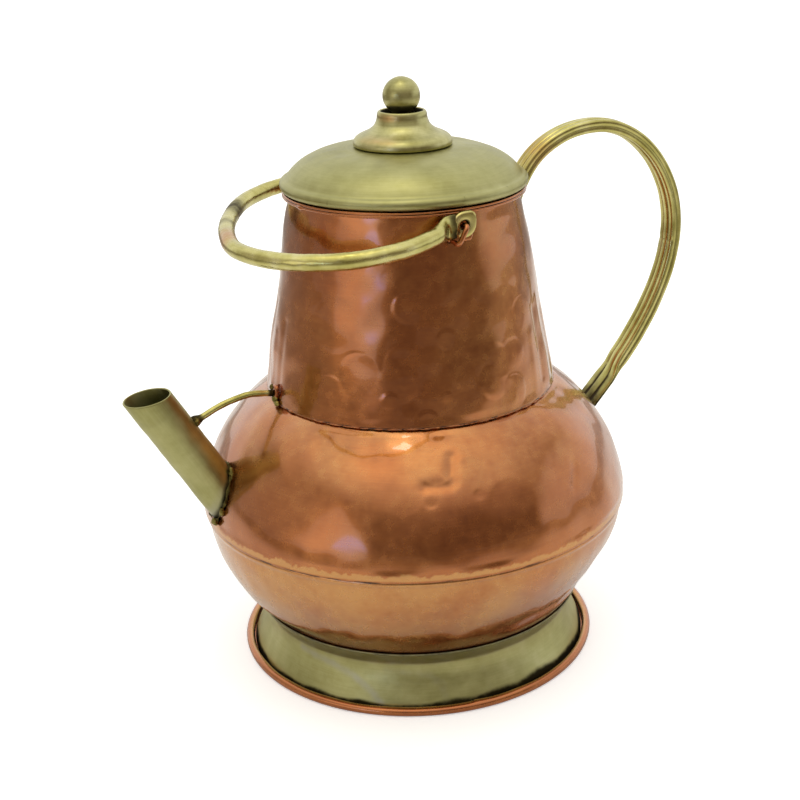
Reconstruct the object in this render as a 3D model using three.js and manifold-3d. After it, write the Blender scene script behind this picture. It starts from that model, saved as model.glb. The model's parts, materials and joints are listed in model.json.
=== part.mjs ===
// A copper jug with a brass foot, spout, lid and handles. Millimetres, +Z up.
// The origin is the centre of the foot's underside, on the axis of the vessel. The spout points to -X,
// the fixed rear handle to +X, and the ears of the swinging bail sit at -Y (front) and +Y (back).
// Pieces that touch on the real jug are modelled with the small clearance "seat" between them.
import * as THREE from "three";
import { mergeVertices } from "three/addons/utils/BufferGeometryUtils.js";
import Module from "manifold-3d";

const wasm = await Module();
wasm.setup();

// Driving dimensions
const sheet = 0.9; // copper and brass sheet
const seat = 0.3; // clearance where two pieces touch
const turns = 36; // facets round the axis

const rimWireRadius = 1; // wire inside the foot's curled rim
const rimCentreRadius = 91.3; // middle of the curl
const rimGroove = 1.2; // between the curl and the skirt
const skirtTopHeight = 30.8;
const skirtBandHeight = 4; // straight band at the top of the skirt
const skirtFlare = 1.9; // how far the skirt widens below its band
const skirtBandStep = 0.5; // how far the skirt stands out just below that band

const bellyRadius = 109.9; // outside of the shoulder bowl at the seam
const bellySeamHeight = 82.3;
const shoulderRise = 22; // how upright the shoulder goes up from the seam
const shoulderSweep = 20.7; // how far out the curve aims before it comes in to the neck
const shoulderDip = 9; // and how far below the neck's foot
const lapHeight = 5.5; // how far the lower bowl reaches up inside the upper one
const bowlDrop = 18; // nearly upright length below the seam
const lapLean = 0.6; // how far that lap leans in with the shoulder
const bowlFloorHeight = 16;
const bowlFloorRadius = 58;

const neckFootRadius = 73.6; // outside of the neck at its foot
const neckFootHeight = 143;
const neckTopRadius = 56.2;
const neckTopHeight = 243.6;
const neckBelly = 0.6; // how far the neck bulges between foot and top
const collarHeight = 6; // upstand of the shoulder inside the neck
const bandDepth = 2.6; // height of the copper ring round the mouth
const bandReach = 3.4; // how far that ring stands out from the neck

const spoutRadius = 10.9;
const spoutWall = 0.9;
const spoutSlope = 60; // degrees above level
const spoutMouthReach = 137; // distance of the mouth's centre from the axis
const spoutMouthHeight = 157;
const spoutCutTilt = 22; // degrees between the mouth's plane and a square cut
const spoutBore = 9.4; // hole in the shoulder

const stayRadius = 1.5;
const stayFootDrop = 16; // from the spout's mouth down to where the stay stands on the spout
const stayFootFlare = 1.8; // radius of its foot against that of the rod
const stayCrest = 1.4; // how far it rises above its upper end on the way
const clipLift = 1.4; // from the foot of the neck up to the tab that holds the stay
const clipWidth = 6;
const clipHeight = 8;
const clipThickness = 1.6;

const handleWidth = 11.4;
const handleThickness = 6.2;
const handleTaper = 0.08; // narrower at the neck and wider at the shoulder by this share
const handleTabBend = 14.4; // how far the curve runs on in the tab's direction
const handleTopReach = 107.8; // distance of the highest point from the axis
const handleTopHeight = 262.9;
const handleTopBend = 32; // how level the curve is before its highest point
const handleCrownBend = 29; // and after it
const handleOutReach = 160; // distance of the outermost point from the axis
const handleOutHeight = 205;
const handleOutBend = 28.3; // how upright the curve is above its outermost point
const handleFallBend = 38; // and below it
const handleTabBottom = 211; // lower end of the tab on the neck
const handleTabTop = 226;
const handleTabThickness = 2.4;
const handleRootHeight = 113.8; // where the handle comes down to the shoulder
const handleRootStand = 9.1; // distance of the root from the shoulder's surface, measured level
const handleRootSlope = 46; // degrees below level, inwards
const handleRootBend = 26; // how straight the curve comes down to the root
const handleFootLength = 17; // length that is flattened above the root

const pivotHeight = 237;
const eyeSpan = 64; // distance of each eye's middle from the axis
const eyeRadius = 6.2;
const eyeThickness = 3.4;
const eyeHole = 1.9;
const bailRodRadius = 3.9;
const bailReach = 97; // from the pivot line to the middle of the hoop's far side
const bailHalfWidth = 77;
const bailLean = 28; // how far the hand-bent hoop leans to the front ear at its far side
const bailDroop = 4; // degrees below level at rest
const stapleWireRadius = 1.25;
const stapleSide = 5; // lower leg towards the spout from the pivot
const plateWidth = 16;
const plateHeight = 16;
const plateThickness = 2.2;

const lidRadius = 61.2;
const lidCrownHeight = 263.5;
const lidCreaseRadius = 57.6;
const lidCreaseHeight = 250.4;
const lidCurlRadius = 2.7;
const crownRise = 7.6; // how the dome's curve leaves the crease, upwards
const crownLean = 5.5; // and inwards
const crownSweep = 16.5; // how far out the curve aims before it levels off
const sleeveClearance = 1.6; // between the sleeve and the inside of the neck
const sleeveDepth = 15;
const bossFootRadius = 24.6;
const bossStepRadius = 21.6;
const bossNeckRadius = 12.6;
const bossHeight = 16.7;
const ballRadius = 9.2;
const ballHeight = 287.5;
const studRadius = 2.5;
const washerRadius = 7.5;
const washerThickness = 1;
const nutAcrossFlats = 8;
const nutHeight = 4;

const radians = THREE.MathUtils.degToRad;
const V2 = (x, y) => new THREE.Vector2(x, y);
const V3 = (x, y, z) => new THREE.Vector3(x, y, z);

// Outside radius of the neck at a height
const neckRadius = (z) => {
  const share = (z - neckFootHeight) / (neckTopHeight - neckFootHeight);
  const straight = THREE.MathUtils.lerp(neckFootRadius, neckTopRadius, share);
  return straight + 4 * neckBelly * share * (1 - share);
};

// Points on a cubic curve given by its ends and handles, as [radius, height] pairs
const bend = (points, count) => new THREE.CubicBezierCurve(...points.map((p) => V2(...p))).getPoints(count);

// A polyline moved sideways to its left by a distance, with mitred corners
function offset(points, distance) {
  const normalTo = (a, b) => V2(a.y - b.y, b.x - a.x).normalize();
  return points.map((p, i) => {
    const before = i > 0 ? normalTo(points[i - 1], p) : normalTo(p, points[i + 1]);
    const after = i < points.length - 1 ? normalTo(p, points[i + 1]) : before;
    const middle = before.clone().add(after);
    return p.clone().addScaledVector(middle, (2 * distance) / middle.lengthSq());
  });
}

// The closed outline of a wall that follows a polyline
const wall = (points, thickness) => [...points, ...offset(points, thickness).reverse()];

// A body turned round Z from a closed outline of (radius, height), whichever way round it is drawn
function turned(outline, facets = turns) {
  const area = outline.reduce((sum, p, i) => {
    const q = outline[(i + 1) % outline.length];
    return sum + p.x * q.y - q.x * p.y;
  }, 0);
  const ring = area > 0 ? [...outline] : [...outline].reverse();
  ring.push(ring[0].clone());
  return new THREE.LatheGeometry(ring, facets).rotateX(Math.PI / 2);
}

// A section carried along a curve that lies in a plane. The section's x runs along the plane's normal, its y
// across the curve in the plane, and grow(share) gives the scale of both at each share of the length.
function carried(section, curve, normal, steps, grow = () => [1, 1]) {
  const geometry = new THREE.ExtrudeGeometry(section, { depth: 1, steps, bevelEnabled: false, curveSegments: 3 });
  const place = geometry.attributes.position;
  for (let i = 0; i < place.count; i++) {
    const share = Math.min(Math.max(place.getZ(i), 0), 1);
    const [wide, deep] = grow(share);
    const tangent = curve.getTangentAt(share);
    const across = tangent.clone().cross(normal).normalize();
    const point = curve.getPointAt(share);
    point.addScaledVector(normal, place.getX(i) * wide).addScaledVector(across, place.getY(i) * deep);
    place.setXYZ(i, point.x, point.y, point.z);
  }
  return geometry;
}

const disc = (radius) => new THREE.Shape().absarc(0, 0, radius, 0, 2 * Math.PI);

// A rectangle with rounded corners, centred
function roundedPlate(width, height, radius) {
  const [w, h] = [width / 2 - radius, height / 2 - radius];
  const shape = new THREE.Shape();
  shape.absarc(w, h, radius, 0, Math.PI / 2);
  shape.absarc(-w, h, radius, Math.PI / 2, Math.PI);
  shape.absarc(-w, -h, radius, Math.PI, 1.5 * Math.PI);
  shape.absarc(w, -h, radius, 1.5 * Math.PI, 2 * Math.PI);
  return shape;
}

// Solids for cutting and joining
function solid(geometry) {
  const bare = geometry.clone();
  bare.deleteAttribute("normal");
  bare.deleteAttribute("uv");
  const merged = mergeVertices(bare, 1e-4);
  const corners = merged.index.array;
  const kept = [];
  for (let i = 0; i < corners.length; i += 3) {
    const [a, b, c] = corners.slice(i, i + 3);
    if (a !== b && b !== c && c !== a) kept.push(a, b, c);
  }
  const vertProperties = merged.attributes.position.array;
  return new wasm.Manifold(new wasm.Mesh({ numProp: 3, vertProperties, triVerts: new Uint32Array(kept) }));
}

function geometryOf(body) {
  const { vertProperties, triVerts } = body.getMesh();
  const geometry = new THREE.BufferGeometry();
  geometry.setAttribute("position", new THREE.BufferAttribute(new Float32Array(vertProperties), 3));
  geometry.setIndex(new THREE.BufferAttribute(new Uint32Array(triVerts), 1));
  geometry.computeVertexNormals();
  return geometry;
}

const copper = new THREE.MeshStandardMaterial({ color: 0xb4693a, roughness: 0.38, metalness: 1 });
const brass = new THREE.MeshStandardMaterial({ color: 0xa6a25c, roughness: 0.4, metalness: 1 });
const wire = new THREE.MeshStandardMaterial({ color: 0x6f6a63, roughness: 0.55, metalness: 1 });

const jug = new THREE.Group();
const body = new THREE.Group();
const bailGroup = new THREE.Group();
const lid = new THREE.Group();
jug.add(body, bailGroup, lid);

function add(group, name, geometry, material) {
  const mesh = new THREE.Mesh(geometry, material);
  mesh.name = name;
  group.add(mesh);
}

// Foot: a disc whose edge is curled over a wire, and the skirt that stands inside the curl
const curlRadius = rimWireRadius + seat + sheet;
const skirtFootRadius = rimCentreRadius - curlRadius - rimGroove;

function makeFoot() {
  // The curl runs from the disc's underside out, up and back in, and stops short of the skirt
  const curl = [];
  const curlEnd = 190;
  const curlSteps = 7;
  for (let i = 0; i <= curlSteps; i++) {
    const angle = radians(-90 + ((90 + curlEnd) * i) / curlSteps);
    curl.push(V2(rimCentreRadius + curlRadius * Math.cos(angle), curlRadius + curlRadius * Math.sin(angle)));
  }
  add(body, "base_plate", turned(wall([V2(0, 0), ...curl], sheet)), copper);

  const wireRing = disc(rimWireRadius)
    .getPoints(2)
    .slice(0, -1)
    .map((p) => V2(p.x + rimCentreRadius, p.y + curlRadius));
  add(body, "foot_wire", turned(wireRing), wire);

  const bandBottom = skirtTopHeight - skirtBandHeight;
  const skirtBottom = sheet + seat;
  const flare = bend(
    [
      [skirtFootRadius, skirtBottom],
      [skirtFootRadius, skirtBottom + 6],
      [bandRadius + skirtBandStep, bandBottom - 14],
      [bandRadius + skirtBandStep, bandBottom],
    ],
    5,
  );
  const band = [V2(bandRadius, bandBottom + sheet), V2(bandRadius, skirtTopHeight)];
  add(body, "foot_skirt", turned(wall([...flare, ...band], sheet)), brass);
}

// Belly: a lower bowl with its own floor, and a shoulder bowl lapped over it
const lapRadius = bellyRadius - sheet - seat; // outside of the lower bowl inside the lap
const bandRadius = skirtFootRadius - skirtFlare; // outside of the skirt's straight band
const bowlFootRadius = bandRadius - sheet - seat; // where the lower bowl goes into the skirt
const collarFoot = neckFootRadius - sheet - seat; // outside of the shoulder's collar at its foot
const shoulder = bend(
  [
    [bellyRadius, bellySeamHeight],
    [bellyRadius, bellySeamHeight + shoulderRise],
    [collarFoot + shoulderSweep, neckFootHeight - shoulderDip],
    [collarFoot, neckFootHeight],
  ],
  8,
);

// Outside radius of the shoulder at a height
function shoulderRadius(z) {
  const i = shoulder.findIndex((p) => p.y >= z);
  const [low, high] = [shoulder[i - 1], shoulder[i]];
  return THREE.MathUtils.mapLinear(z, low.y, high.y, low.x, high.x);
}

// Outside of the shoulder's collar, which stands up inside the neck
const collarAt = (z) => V2(neckRadius(z) - sheet - seat, z);

const spoutMouth = V3(-spoutMouthReach, 0, spoutMouthHeight);
const spoutWidth = (2 * spoutRadius) / Math.sin(radians(spoutSlope)); // across the spout, measured level

// A round bar along the spout's axis, from the mouth's centre back into the belly and out past the mouth
function spoutBar(radius) {
  const back = 100;
  const ahead = 30;
  const bar = new THREE.CylinderGeometry(radius, radius, back + ahead, 24);
  bar.rotateX(Math.PI / 2).translate(0, 0, (ahead - back) / 2).rotateY(radians(spoutSlope - 90));
  return bar.translate(spoutMouth.x, spoutMouth.y, spoutMouth.z);
}

// The belly as one filled body, grown all round, to cut what sits on it
function bellyPlug(growth) {
  const outside = offset([V2(lapRadius, bellySeamHeight - bowlDrop), ...shoulder], -growth);
  return turned([V2(0, outside[0].y), ...outside, V2(0, outside.at(-1).y)]);
}

function makeBelly() {
  const bowl = bend(
    [
      [bowlFootRadius, skirtTopHeight],
      [bowlFootRadius + 9.6, skirtTopHeight + 13],
      [lapRadius + 0.4, bellySeamHeight - bowlDrop],
      [lapRadius, bellySeamHeight],
    ],
    6,
  );
  const floor = [V2(0, bowlFloorHeight), V2(bowlFloorRadius, bowlFloorHeight)];
  const heel = [V2(bowlFootRadius - 10, bowlFloorHeight + 6), V2(bowlFootRadius - 0.6, skirtTopHeight - 4)];
  const lap = V2(lapRadius - lapLean, bellySeamHeight + lapHeight);
  const outline = wall([...floor, ...heel, ...bowl, lap], sheet);
  add(body, "belly_lower", turned(outline), copper);

  const collar = [collarAt(neckFootHeight), collarAt(neckFootHeight + collarHeight)];
  const upper = solid(turned(wall([...shoulder.slice(0, -1), ...collar], sheet)));
  const drilled = upper.subtract(solid(spoutBar(spoutBore)));
  add(body, "belly_upper", geometryOf(drilled), copper);
}

// Neck: a cone over the collar, with a copper ring round its mouth
function makeNeck() {
  const steps = 4;
  const outside = [];
  for (let i = 0; i <= steps; i++) {
    const z = THREE.MathUtils.lerp(neckFootHeight + seat + 0.4, neckTopHeight, i / steps);
    outside.push(V2(neckRadius(z), z));
  }
  add(body, "neck_shell", turned(wall(outside, sheet)), copper);

  const low = neckTopHeight - bandDepth;
  const inner = neckRadius(low) + seat;
  const outer = inner + bandReach - seat;
  const ring = [
    V2(inner, low),
    V2(outer - 1.4, low),
    V2(outer - 0.4, low + 0.4),
    V2(outer, low + bandDepth / 2),
    V2(outer - 0.4, low + bandDepth - 0.4),
    V2(outer - 1.4, low + bandDepth),
    V2(inner, low + bandDepth),
  ];
  add(body, "neck_rim_band", turned(ring), copper);
}

// Spout: a straight tube, its foot saddle-cut to the belly and its mouth cut nearly level
function makeSpout() {
  const tube = solid(spoutBar(spoutRadius)).subtract(solid(spoutBar(spoutRadius - spoutWall)));
  const room = 8 * spoutRadius;
  const cutter = new THREE.BoxGeometry(room, room, room).translate(0, 0, room / 2);
  cutter.rotateY(radians(spoutSlope + spoutCutTilt - 90));
  cutter.translate(spoutMouth.x, spoutMouth.y, spoutMouth.z);
  const cut = tube.subtract(solid(cutter)).subtract(solid(bellyPlug(seat)));
  const outermost = cut.decompose().reduce((a, b) => (a.boundingBox().min[0] < b.boundingBox().min[0] ? a : b));
  add(body, "spout_tube", geometryOf(outermost), brass);
}

// Stay: a thin rod from the spout to a small tab at the foot of the neck
function makeStay() {
  const top = neckFootHeight + clipLift + clipHeight / 2;
  const foot = spoutMouthHeight - stayFootDrop;
  const tabFace = -(neckRadius(top) + seat + clipThickness);
  const footReach = -spoutMouthReach + stayFootDrop / Math.tan(radians(spoutSlope)) + spoutWidth / 2;
  const span = tabFace - footReach;
  // From inside the spout, where the cut below ends the rod, out and up to the tab
  const curve = new THREE.CatmullRomCurve3([
    V3(footReach - 2.7 * stayRadius, 0, foot - 1.1 * stayRadius),
    V3(footReach + stayRadius, 0, foot + stayRadius / 3),
    V3(footReach + span * 0.36, 0, THREE.MathUtils.lerp(foot, top, 0.82)),
    V3(footReach + span * 0.7, 0, top + stayCrest),
    V3(tabFace - seat, 0, top),
  ]);
  const grow = (share) => {
    const flare = THREE.MathUtils.lerp(stayFootFlare, 1, THREE.MathUtils.smoothstep(share, 0.08, 0.2));
    return [flare, flare];
  };
  const rod = solid(carried(disc(stayRadius), curve, V3(0, 1, 0), 18, grow));
  const cut = rod.subtract(solid(spoutBar(spoutRadius + seat)));
  const outside = cut.decompose().reduce((a, b) => (a.volume() > b.volume() ? a : b));
  add(body, "spout_stay", geometryOf(outside), brass);

  const blank = new THREE.ExtrudeGeometry(roundedPlate(clipWidth, clipHeight, clipWidth / 5), {
    depth: 3 * clipThickness,
    bevelEnabled: false,
    curveSegments: 3,
  });
  blank.rotateX(Math.PI / 2).rotateZ(Math.PI / 2);
  blank.translate(tabFace, 0, top);
  const clip = solid(blank).subtract(solid(neckPlug(seat)));
  add(body, "stay_clip", geometryOf(clip), copper);
}

// The neck as one filled body, grown all round, to cut what sits on it
function neckPlug(growth) {
  const steps = 5;
  const outside = [];
  for (let i = 0; i <= steps; i++) {
    const z = THREE.MathUtils.lerp(neckFootHeight - collarHeight, neckTopHeight, i / steps);
    outside.push(V2(neckRadius(z) + growth, z));
  }
  return turned([V2(0, outside[0].y), ...outside, V2(0, outside.at(-1).y)]);
}

// Rear handle: a reeded strap, flattened to a tab on the neck and to a foot on the shoulder
function makeRearHandle() {
  const half = handleTabThickness / 2;
  const onNeck = (z) => V3(neckRadius(z) + seat + half + 0.2, 0, z);
  const tab = onNeck(handleTabTop);
  const top = V3(handleTopReach, 0, handleTopHeight);
  const out = V3(handleOutReach, 0, handleOutHeight);
  const root = V3(shoulderRadius(handleRootHeight) + handleRootStand, 0, handleRootHeight);
  const into = V3(-Math.cos(radians(handleRootSlope)), 0, -Math.sin(radians(handleRootSlope)));
  const path = new THREE.CurvePath();
  path.add(new THREE.LineCurve3(onNeck(handleTabBottom), tab));
  const arc = (...points) => path.add(new THREE.CubicBezierCurve3(...points));
  const above = tab.clone().add(V3(0, 0, handleTabBend));
  arc(tab, above, V3(top.x - handleTopBend, 0, top.z), top);
  arc(top, V3(top.x + handleCrownBend, 0, top.z), V3(out.x, 0, out.z + handleOutBend), out);
  arc(out, V3(out.x, 0, out.z - handleFallBend), root.clone().addScaledVector(into, -handleRootBend), root);
  const buried = 2.5 * handleThickness; // runs on into the belly, where the cut below ends it
  path.add(new THREE.LineCurve3(root, root.clone().addScaledVector(into, buried)));

  // The section: a bar of six round reeds, one at each corner and one along each broad face
  const section = new THREE.Shape();
  const [wide, deep] = [handleWidth / 2, handleThickness / 2];
  const groove = 0.88; // depth of the grooves as a share of the section
  const reed = (...corners) => section.bezierCurveTo(...corners.flatMap(([x, y]) => [x * wide, y * deep]));
  section.moveTo(groove * wide, 0);
  reed([1.08, 0.75], [0.8, 1.18], [0.33, groove]);
  reed([0.2, 1.12], [-0.2, 1.12], [-0.33, groove]);
  reed([-0.8, 1.18], [-1.08, 0.75], [-groove, 0]);
  reed([-1.08, -0.75], [-0.8, -1.18], [-0.33, -groove]);
  reed([-0.2, -1.12], [0.2, -1.12], [0.33, -groove]);
  reed([0.8, -1.18], [1.08, -0.75], [groove, 0]);

  const length = path.getLength();
  const tabShare = (handleTabTop - handleTabBottom) / length;
  const footShare = 1 - (handleFootLength + buried) / length;
  const grow = (share) => {
    const leaving = THREE.MathUtils.smoothstep(share, tabShare * 0.9, tabShare * 2);
    const arriving = THREE.MathUtils.smoothstep(share, footShare - 0.03, footShare + 0.01);
    const round = leaving * (1 - arriving);
    const thin = handleTabThickness / handleThickness;
    const taper = THREE.MathUtils.lerp(1 - handleTaper, 1 + handleTaper, share);
    return [THREE.MathUtils.lerp(1.1, 1, round) * taper, THREE.MathUtils.lerp(thin, 1, round)];
  };
  const strap = solid(carried(section, path, V3(0, 1, 0), 40, grow));
  const seated = strap.subtract(solid(bellyPlug(seat))).subtract(solid(neckPlug(seat)));
  const biggest = seated.decompose().reduce((a, b) => (a.volume() > b.volume() ? a : b));
  add(body, "rear_handle", geometryOf(biggest), brass);
}

// Ears: on each side a plate on the neck and a wire staple. The upper leg of the staple carries the bail's eye,
// the lower leg is the stop under the bail's arm.
const plateMiddle = pivotHeight - plateHeight * 0.33;
const plateFace = neckRadius(plateMiddle) + seat + plateThickness; // at the plate's middle height
const stapleOut = eyeSpan + eyeThickness / 2 + stapleWireRadius + 1.4;
const armNormal = V3(Math.sin(radians(bailDroop)), 0, -Math.cos(radians(bailDroop)));
const armDirection = V3(-Math.cos(radians(bailDroop)), 0, -Math.sin(radians(bailDroop)));
const legStep = armNormal
  .clone()
  .multiplyScalar(eyeRadius + stapleWireRadius + seat)
  .addScaledVector(armDirection, stapleSide);

function stapleCurve(side, depth) {
  const bendRadius = 2.4;
  const length = legStep.length();
  const down = legStep.clone().normalize();
  const at = (y, along) => V3(0, side * y, pivotHeight).addScaledVector(down, along);
  const inner = neckRadius(pivotHeight) + seat - depth;
  const corner = (...points) => new THREE.QuadraticBezierCurve3(...points);
  const path = new THREE.CurvePath();
  path.add(new THREE.LineCurve3(at(inner, 0), at(stapleOut - bendRadius, 0)));
  path.add(corner(at(stapleOut - bendRadius, 0), at(stapleOut, 0), at(stapleOut, bendRadius)));
  path.add(new THREE.LineCurve3(at(stapleOut, bendRadius), at(stapleOut, length - bendRadius)));
  path.add(corner(at(stapleOut, length - bendRadius), at(stapleOut, length), at(stapleOut - bendRadius, length)));
  path.add(new THREE.LineCurve3(at(stapleOut - bendRadius, length), at(inner + 1.2, length)));
  return path;
}

function makeEar(name, side) {
  const slope = (neckRadius(plateMiddle - 10) - neckRadius(plateMiddle + 10)) / 20;
  const inside = 6; // how far the blank reaches in before the neck cuts it
  const blank = new THREE.ExtrudeGeometry(roundedPlate(plateWidth, plateHeight, 2.5), {
    depth: inside,
    bevelEnabled: false,
    curveSegments: 3,
  });
  // Drawn level, stood up so that its depth runs inwards, leaned with the neck and set against it
  blank.rotateX(Math.PI / 2).rotateZ(side > 0 ? 0 : Math.PI);
  blank.rotateX(side * Math.atan(slope)).translate(0, side * plateFace, plateMiddle);
  const legs = stapleCurve(side, -0.4);
  const normal = legStep.clone().normalize().cross(V3(0, 1, 0));
  const holes = solid(carried(disc(stapleWireRadius + seat), stapleCurve(side, 5), normal, 24));
  const plate = solid(blank).subtract(solid(neckPlug(seat))).subtract(holes);
  add(body, "ear_plate_" + name, geometryOf(plate), copper);
  add(body, "ear_staple_" + name, carried(disc(stapleWireRadius), legs, normal, 24), copper);
}

// Bail: a rod bent to a hoop that leans a little to the front, its ends flattened to eyes round the staples
function makeBail() {
  const at = (reach, across) => V3(0, across, pivotHeight).addScaledVector(armDirection, reach);
  // Shares of the reach and of the half width from the eye to the hoop's far side
  const stations = [
    [0, eyeSpan / bailHalfWidth],
    [0.09, (eyeSpan + 0.8) / bailHalfWidth],
    [0.21, 0.95],
    [0.42, 1.01],
    [0.66, 0.89],
    [0.84, 0.62],
    [0.95, 0.33],
  ];
  const lean = (share) => -bailLean * share * share;
  const front = stations.map(([r, w]) => at(r * bailReach, -w * bailHalfWidth + lean(r)));
  const back = stations.map(([r, w]) => at(r * bailReach, w * bailHalfWidth + lean(r))).reverse();
  const curve = new THREE.CatmullRomCurve3([...front, at(bailReach, lean(1)), ...back], false, "centripetal");
  const length = curve.getLength();
  const grow = (share) => {
    const end = Math.min(share, 1 - share) * length;
    const round = THREE.MathUtils.smoothstep(end, 8, 22);
    return [
      THREE.MathUtils.lerp(eyeRadius / bailRodRadius, 1, round),
      THREE.MathUtils.lerp(eyeThickness / 2 / bailRodRadius, 1, round),
    ];
  };
  let hoop = solid(carried(disc(bailRodRadius), curve, armNormal, 50, grow));
  for (const side of [-1, 1]) {
    const eye = new THREE.CylinderGeometry(eyeRadius, eyeRadius, eyeThickness - 0.2, 20);
    const hole = new THREE.CylinderGeometry(eyeHole, eyeHole, 3 * eyeThickness, 14);
    eye.translate(0, side * eyeSpan, pivotHeight);
    hole.translate(0, side * eyeSpan, pivotHeight);
    hoop = hoop.add(solid(eye)).subtract(solid(hole));
  }
  add(bailGroup, "bail", geometryOf(hoop), brass);
}

// Lid: a spun dome with a curled edge, a sleeve inside the neck, a stepped boss and a ball on a stud
function makeLid() {
  const restHeight = neckTopHeight + seat;
  const curlMiddle = V2(lidRadius - lidCurlRadius, restHeight + lidCurlRadius);
  const curl = [];
  const curlSteps = 5;
  for (let i = 0; i <= curlSteps; i++) {
    const angle = radians(-150 + (225 * i) / curlSteps);
    curl.push(V2(curlMiddle.x + lidCurlRadius * Math.cos(angle), curlMiddle.y + lidCurlRadius * Math.sin(angle)));
  }
  const flatRadius = bossFootRadius + 1; // flat seat under the boss
  const crown = bend(
    [
      [lidCreaseRadius, lidCreaseHeight],
      [lidCreaseRadius - crownLean, lidCreaseHeight + crownRise],
      [flatRadius + crownSweep, lidCrownHeight - sheet],
      [flatRadius, lidCrownHeight],
    ],
    6,
  );
  const outline = wall([...curl, ...crown, V2(0, lidCrownHeight)], sheet);
  const studHole = new THREE.CylinderGeometry(studRadius + seat, studRadius + seat, 3 * bossHeight, 12);
  studHole.rotateX(Math.PI / 2).translate(0, 0, lidCrownHeight);
  add(lid, "lid_dome", geometryOf(solid(turned(outline)).subtract(solid(studHole))), brass);

  const sleeveOuter = neckRadius(neckTopHeight) - sheet - sleeveClearance;
  const sleeveTop = lidCreaseHeight + 2.4;
  const sleeve = [
    V2(sleeveOuter, restHeight - sleeveDepth),
    V2(sleeveOuter, sleeveTop),
    V2(sleeveOuter - sheet, sleeveTop),
    V2(sleeveOuter - sheet, restHeight - sleeveDepth),
  ];
  add(lid, "lid_sleeve", turned(sleeve, 32), brass);

  const bossFoot = lidCrownHeight + seat;
  const lip = bossFoot + bossHeight;
  const bossOutside = [
    V2(bossFootRadius, bossFoot),
    V2(bossFootRadius - 0.4, bossFoot + 1.8),
    V2(bossStepRadius + 1, bossFoot + 3.6),
    V2(bossStepRadius, bossFoot + 4.1),
    V2(bossStepRadius - 3, bossFoot + 6),
    V2(bossNeckRadius + 2, bossFoot + 8.6),
    V2(bossNeckRadius + 0.3, bossFoot + 10.6),
    V2(bossNeckRadius - 0.5, bossFoot + 13),
    V2(bossNeckRadius - 0.8, lip - 0.8),
    V2(bossNeckRadius - 1.5, lip),
  ];
  const cup = [V2(bossNeckRadius - 2.5, lip - 0.2), V2(bossNeckRadius - 2.7, lip - 4.5), V2(0, lip - 4.5)];
  const boss = turned([V2(0, bossFoot), ...bossOutside, ...cup], 32);
  add(lid, "lid_boss", geometryOf(solid(boss).subtract(solid(studHole))), brass);

  // The ball's centre line is the stud's. The stud runs from inside the ball to below the nut.
  const ball = new THREE.SphereGeometry(ballRadius, 20, 14).rotateX(Math.PI / 2).translate(0, 0, ballHeight);
  const studTop = ballHeight - ballRadius + 5;
  const underDome = lidCrownHeight - sheet - seat;
  const nutTop = underDome - washerThickness - seat;
  const studBottom = nutTop - nutHeight - 2;
  const socket = new THREE.CylinderGeometry(studRadius + seat, studRadius + seat, 2 * ballRadius, 12);
  socket.rotateX(Math.PI / 2).translate(0, 0, studTop + seat - ballRadius);
  add(lid, "knob_ball", geometryOf(solid(ball).subtract(solid(socket))), brass);

  const stud = new THREE.CylinderGeometry(studRadius, studRadius, studTop - studBottom, 12);
  stud.rotateX(Math.PI / 2).translate(0, 0, (studTop + studBottom) / 2);
  add(lid, "knob_stud", stud, brass);

  const washer = [
    V2(studRadius + seat, underDome - washerThickness),
    V2(washerRadius, underDome - washerThickness),
    V2(washerRadius, underDome),
    V2(studRadius + seat, underDome),
  ];
  add(lid, "knob_washer", turned(washer, 20), brass);

  const nutCorner = nutAcrossFlats / Math.sqrt(3);
  const nut = new THREE.CylinderGeometry(nutCorner, nutCorner, nutHeight, 6);
  const thread = new THREE.CylinderGeometry(studRadius + seat, studRadius + seat, 3 * nutHeight, 12);
  nut.rotateX(Math.PI / 2).translate(0, 0, nutTop - nutHeight / 2);
  thread.rotateX(Math.PI / 2).translate(0, 0, nutTop - nutHeight / 2);
  add(lid, "knob_nut", geometryOf(solid(nut).subtract(solid(thread))), brass);
}

makeFoot();
makeBelly();
makeNeck();
makeSpout();
makeStay();
makeRearHandle();
makeEar("front", -1);
makeEar("back", 1);
makeBail();
makeLid();

export default jug;
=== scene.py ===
# %% [markdown]
# # A copper jug with brass fittings
#
# The real jug is raised from copper sheet by hand and finished with turned, bent and soldered brass. The
# solid model already fixes where every piece is and how it moves. This lesson dresses it: each piece
# becomes a fine surface worked out with numpy, and each metal gets its own procedural material.

# %% Load the fixed frame
import json
import math
from collections import namedtuple

import bpy
import numpy as np
from mathutils import Matrix


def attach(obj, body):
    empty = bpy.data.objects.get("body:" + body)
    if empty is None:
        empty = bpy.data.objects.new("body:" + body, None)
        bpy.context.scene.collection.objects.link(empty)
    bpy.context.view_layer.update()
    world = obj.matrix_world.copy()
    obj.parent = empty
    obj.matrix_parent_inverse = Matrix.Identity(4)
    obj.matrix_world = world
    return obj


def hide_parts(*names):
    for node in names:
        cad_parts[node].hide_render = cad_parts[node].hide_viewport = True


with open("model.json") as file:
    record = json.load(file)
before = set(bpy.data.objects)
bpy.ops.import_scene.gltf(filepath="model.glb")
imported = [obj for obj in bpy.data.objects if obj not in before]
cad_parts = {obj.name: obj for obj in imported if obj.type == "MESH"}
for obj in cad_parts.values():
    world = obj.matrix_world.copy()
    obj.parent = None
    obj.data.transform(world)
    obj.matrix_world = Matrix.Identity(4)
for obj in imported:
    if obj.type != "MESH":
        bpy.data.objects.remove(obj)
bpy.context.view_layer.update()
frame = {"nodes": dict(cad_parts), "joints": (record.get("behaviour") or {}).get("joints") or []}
cad = frame["nodes"]
mm = 0.001
print("solids in the frame:", len(cad))

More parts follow.
